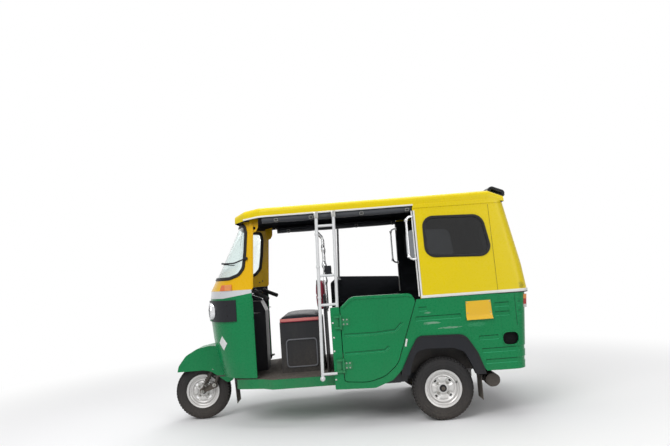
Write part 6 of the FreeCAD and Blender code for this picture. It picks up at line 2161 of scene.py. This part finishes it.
def ground_material():
    """A pale floor that keeps the shadow near the object and turns white further away."""
    made = bpy.data.materials.new("Studio ground")
    made.use_nodes = True
    tree = made.node_tree
    shader = tree.nodes["Principled BSDF"]
    shader.inputs["Base Color"].default_value = (0.86, 0.86, 0.87, 1)
    shader.inputs["Roughness"].default_value = 0.9
    shader.inputs["Specular IOR Level"].default_value = 0.1
    place = tree.nodes.new("ShaderNodeTexCoord").outputs["Object"]
    away = node(tree, "ShaderNodeVectorMath", {0: place}, operation="LENGTH").outputs["Value"]
    white = tree.nodes.new("ShaderNodeEmission")
    tree.links.new(seen_only(tree), white.inputs["Strength"])
    share = spread(tree, away, 2.2, 5.0)
    share.node.interpolation_type = "SMOOTHSTEP"
    joined = node(tree, "ShaderNodeMixShader", {0: share, 1: shader.outputs[0],
                                                2: white.outputs[0]})
    tree.links.new(joined.outputs[0], tree.nodes["Material Output"].inputs["Surface"])
    return made


def white_world(strength):
    """Soft light from all round, which reads white where it is seen."""
    world = bpy.data.worlds.new("Studio")
    world.use_nodes = True
    tree = world.node_tree
    background = tree.nodes["Background"]
    background.inputs["Color"].default_value = (1.0, 1.0, 1.0, 1)
    level = maths(tree, "MULTIPLY_ADD", seen_only(tree), 1.0 - strength, strength)
    tree.links.new(level, background.inputs["Strength"])
    return world


def add_light(name, place, target, size, power):
    data = bpy.data.lights.new(name, "AREA")
    data.energy = power
    data.shape = "RECTANGLE"
    data.size = data.size_y = size
    lamp = placed(name, data)
    lamp.location = place
    lamp.rotation_euler = (Vector(target) - Vector(place)).to_track_quat("-Z", "Y").to_euler()


class RICKSHAW_OT_paint(bpy.types.Operator):
    """The materials, and every solid dressed in its own"""
    bl_idname = "rickshaw.paint"
    bl_label = "Paint and materials"

    def execute(self, context):
        make_materials()
        dress_frame()
        return {"FINISHED"}


class RICKSHAW_OT_wheels(bpy.types.Operator):
    """Tyres with their tread and the pressed wheels with hubs, nuts and valves"""
    bl_idname = "rickshaw.wheels"
    bl_label = "Wheels and tyres"

    def execute(self, context):
        for name, x, y, facing, body in WHEELS:
            tyre(name, x, y, body)
            wheel(name, x, y, facing, body)
        return {"FINISHED"}


class RICKSHAW_OT_glazing(bpy.types.Operator):
    """Rubber round the windows, and the wiper"""
    bl_idname = "rickshaw.glazing"
    bl_label = "Glazing"

    def execute(self, context):
        seals()
        wiper()
        return {"FINISHED"}


class RICKSHAW_OT_trim(bpy.types.Operator):
    """Gutters, white beads, rolled edges, blank label and blank side plate"""
    bl_idname = "rickshaw.trim"
    bl_label = "Trim and beading"

    def execute(self, context):
        gutters()
        belt_bead()
        quarter_beads()
        groove_lines()
        shield_edges()
        label()
        side_plate()
        return {"FINISHED"}


class RICKSHAW_OT_lamps(bpy.types.Operator):
    """Headlamps with reflector and bezel, and the halves of the other lamps"""
    bl_idname = "rickshaw.lamps"
    bl_label = "Lamps"

    def execute(self, context):
        headlamps()
        lamp_details()
        return {"FINISHED"}


class RICKSHAW_OT_seats(bpy.types.Operator):
    """Driver's seat and passenger bench as sewn cushions"""
    bl_idname = "rickshaw.seats"
    bl_label = "Seats"

    def execute(self, context):
        driver_seat()
        passenger_bench()
        return {"FINISHED"}


class RICKSHAW_OT_curtains(bpy.types.Operator):
    """Rolled rain curtains with their straps"""
    bl_idname = "rickshaw.curtains"
    bl_label = "Curtains"

    def execute(self, context):
        curtains()
        rear_straps()
        return {"FINISHED"}


class RICKSHAW_OT_cabin(bpy.types.Operator):
    """Handles, guard fittings, instrument, handlebar details, mat and pedal"""
    bl_idname = "rickshaw.cabin"
    bl_label = "Cabin fittings"

    def execute(self, context):
        handles()
        guard_fittings()
        meter()
        far_pole()
        linings()
        pillar_fittings()
        handlebar_details()
        floor_fittings()
        return {"FINISHED"}


class RICKSHAW_OT_outside(bpy.types.Operator):
    """Door and lid fittings, rivets and screws, arch welts and mud flaps"""
    bl_idname = "rickshaw.outside"
    bl_label = "Outside fittings"

    def execute(self, context):
        door_fittings()
        door_lines()
        rear_fittings()
        body_rivets()
        flare_edges()
        mud_flaps()
        return {"FINISHED"}


class RICKSHAW_OT_underside(bpy.types.Operator):
    """Front springs, engine fins and cover, silencer bands and frame bolts"""
    bl_idname = "rickshaw.underside"
    bl_label = "Underside"

    def execute(self, context):
        front_suspension()
        engine_details()
        exhaust_details()
        under_bolts()
        return {"FINISHED"}


class RICKSHAW_OT_stage(bpy.types.Operator):
    """Ground, soft studio lights, world and the photo's camera"""
    bl_idname = "rickshaw.stage"
    bl_label = "Stage and camera"

    def execute(self, context):
        scene = context.scene
        ground = bmesh.new()
        surface(ground, lambda u, v: Vector((60 * u - 30, 60 * v - 30, 0)), 12, 12)
        mesh = bpy.data.meshes.new("ground")
        ground.to_mesh(mesh)
        ground.free()
        face_out_mesh(mesh, Vector((0, 0, 1)))
        mesh.materials.append(ground_material())
        placed("ground", mesh)
        for light in LIGHTS:
            add_light(*light)
        scene.world = white_world(0.34)
        scene.view_settings.view_transform = "Standard"
        data = bpy.data.cameras.new("camera")
        data.lens = 29.23
        data.sensor_width = 36
        data.clip_end = 100
        camera = placed("camera", data)
        camera.matrix_world = camera_matrix()
        scene.camera = camera
        return {"FINISHED"}


class RICKSHAW_PT_panel(bpy.types.Panel):
    bl_idname = "RICKSHAW_PT_panel"
    bl_label = "Auto Rickshaw"
    bl_space_type = "VIEW_3D"
    bl_region_type = "UI"
    bl_category = "Rickshaw"

    def draw(self, context):
        for operator in OPERATORS:
            self.layout.operator(operator.bl_idname)
        for group in (context.scene.rickshaw_colours, context.scene.rickshaw_sizes):
            box = self.layout.box()
            for name in group.__annotations__:
                box.prop(group, name)


OPERATORS = [RICKSHAW_OT_paint, RICKSHAW_OT_wheels, RICKSHAW_OT_glazing, RICKSHAW_OT_trim,
             RICKSHAW_OT_lamps, RICKSHAW_OT_seats, RICKSHAW_OT_curtains, RICKSHAW_OT_cabin,
             RICKSHAW_OT_outside, RICKSHAW_OT_underside, RICKSHAW_OT_stage]
CLASSES = [RickshawColours, RickshawSizes, *OPERATORS, RICKSHAW_PT_panel]


def register():
    for made in CLASSES:
        bpy.utils.register_class(made)
    bpy.types.Scene.rickshaw_colours = bpy.props.PointerProperty(type=RickshawColours)
    bpy.types.Scene.rickshaw_sizes = bpy.props.PointerProperty(type=RickshawSizes)


def unregister():
    del bpy.types.Scene.rickshaw_sizes
    del bpy.types.Scene.rickshaw_colours
    for made in reversed(CLASSES):
        bpy.utils.unregister_class(made)


def main():
    register()
    for operator in OPERATORS:
        group, action = operator.bl_idname.split(".")
        getattr(getattr(bpy.ops, group), action)()


if __name__ == "__main__":
    main()
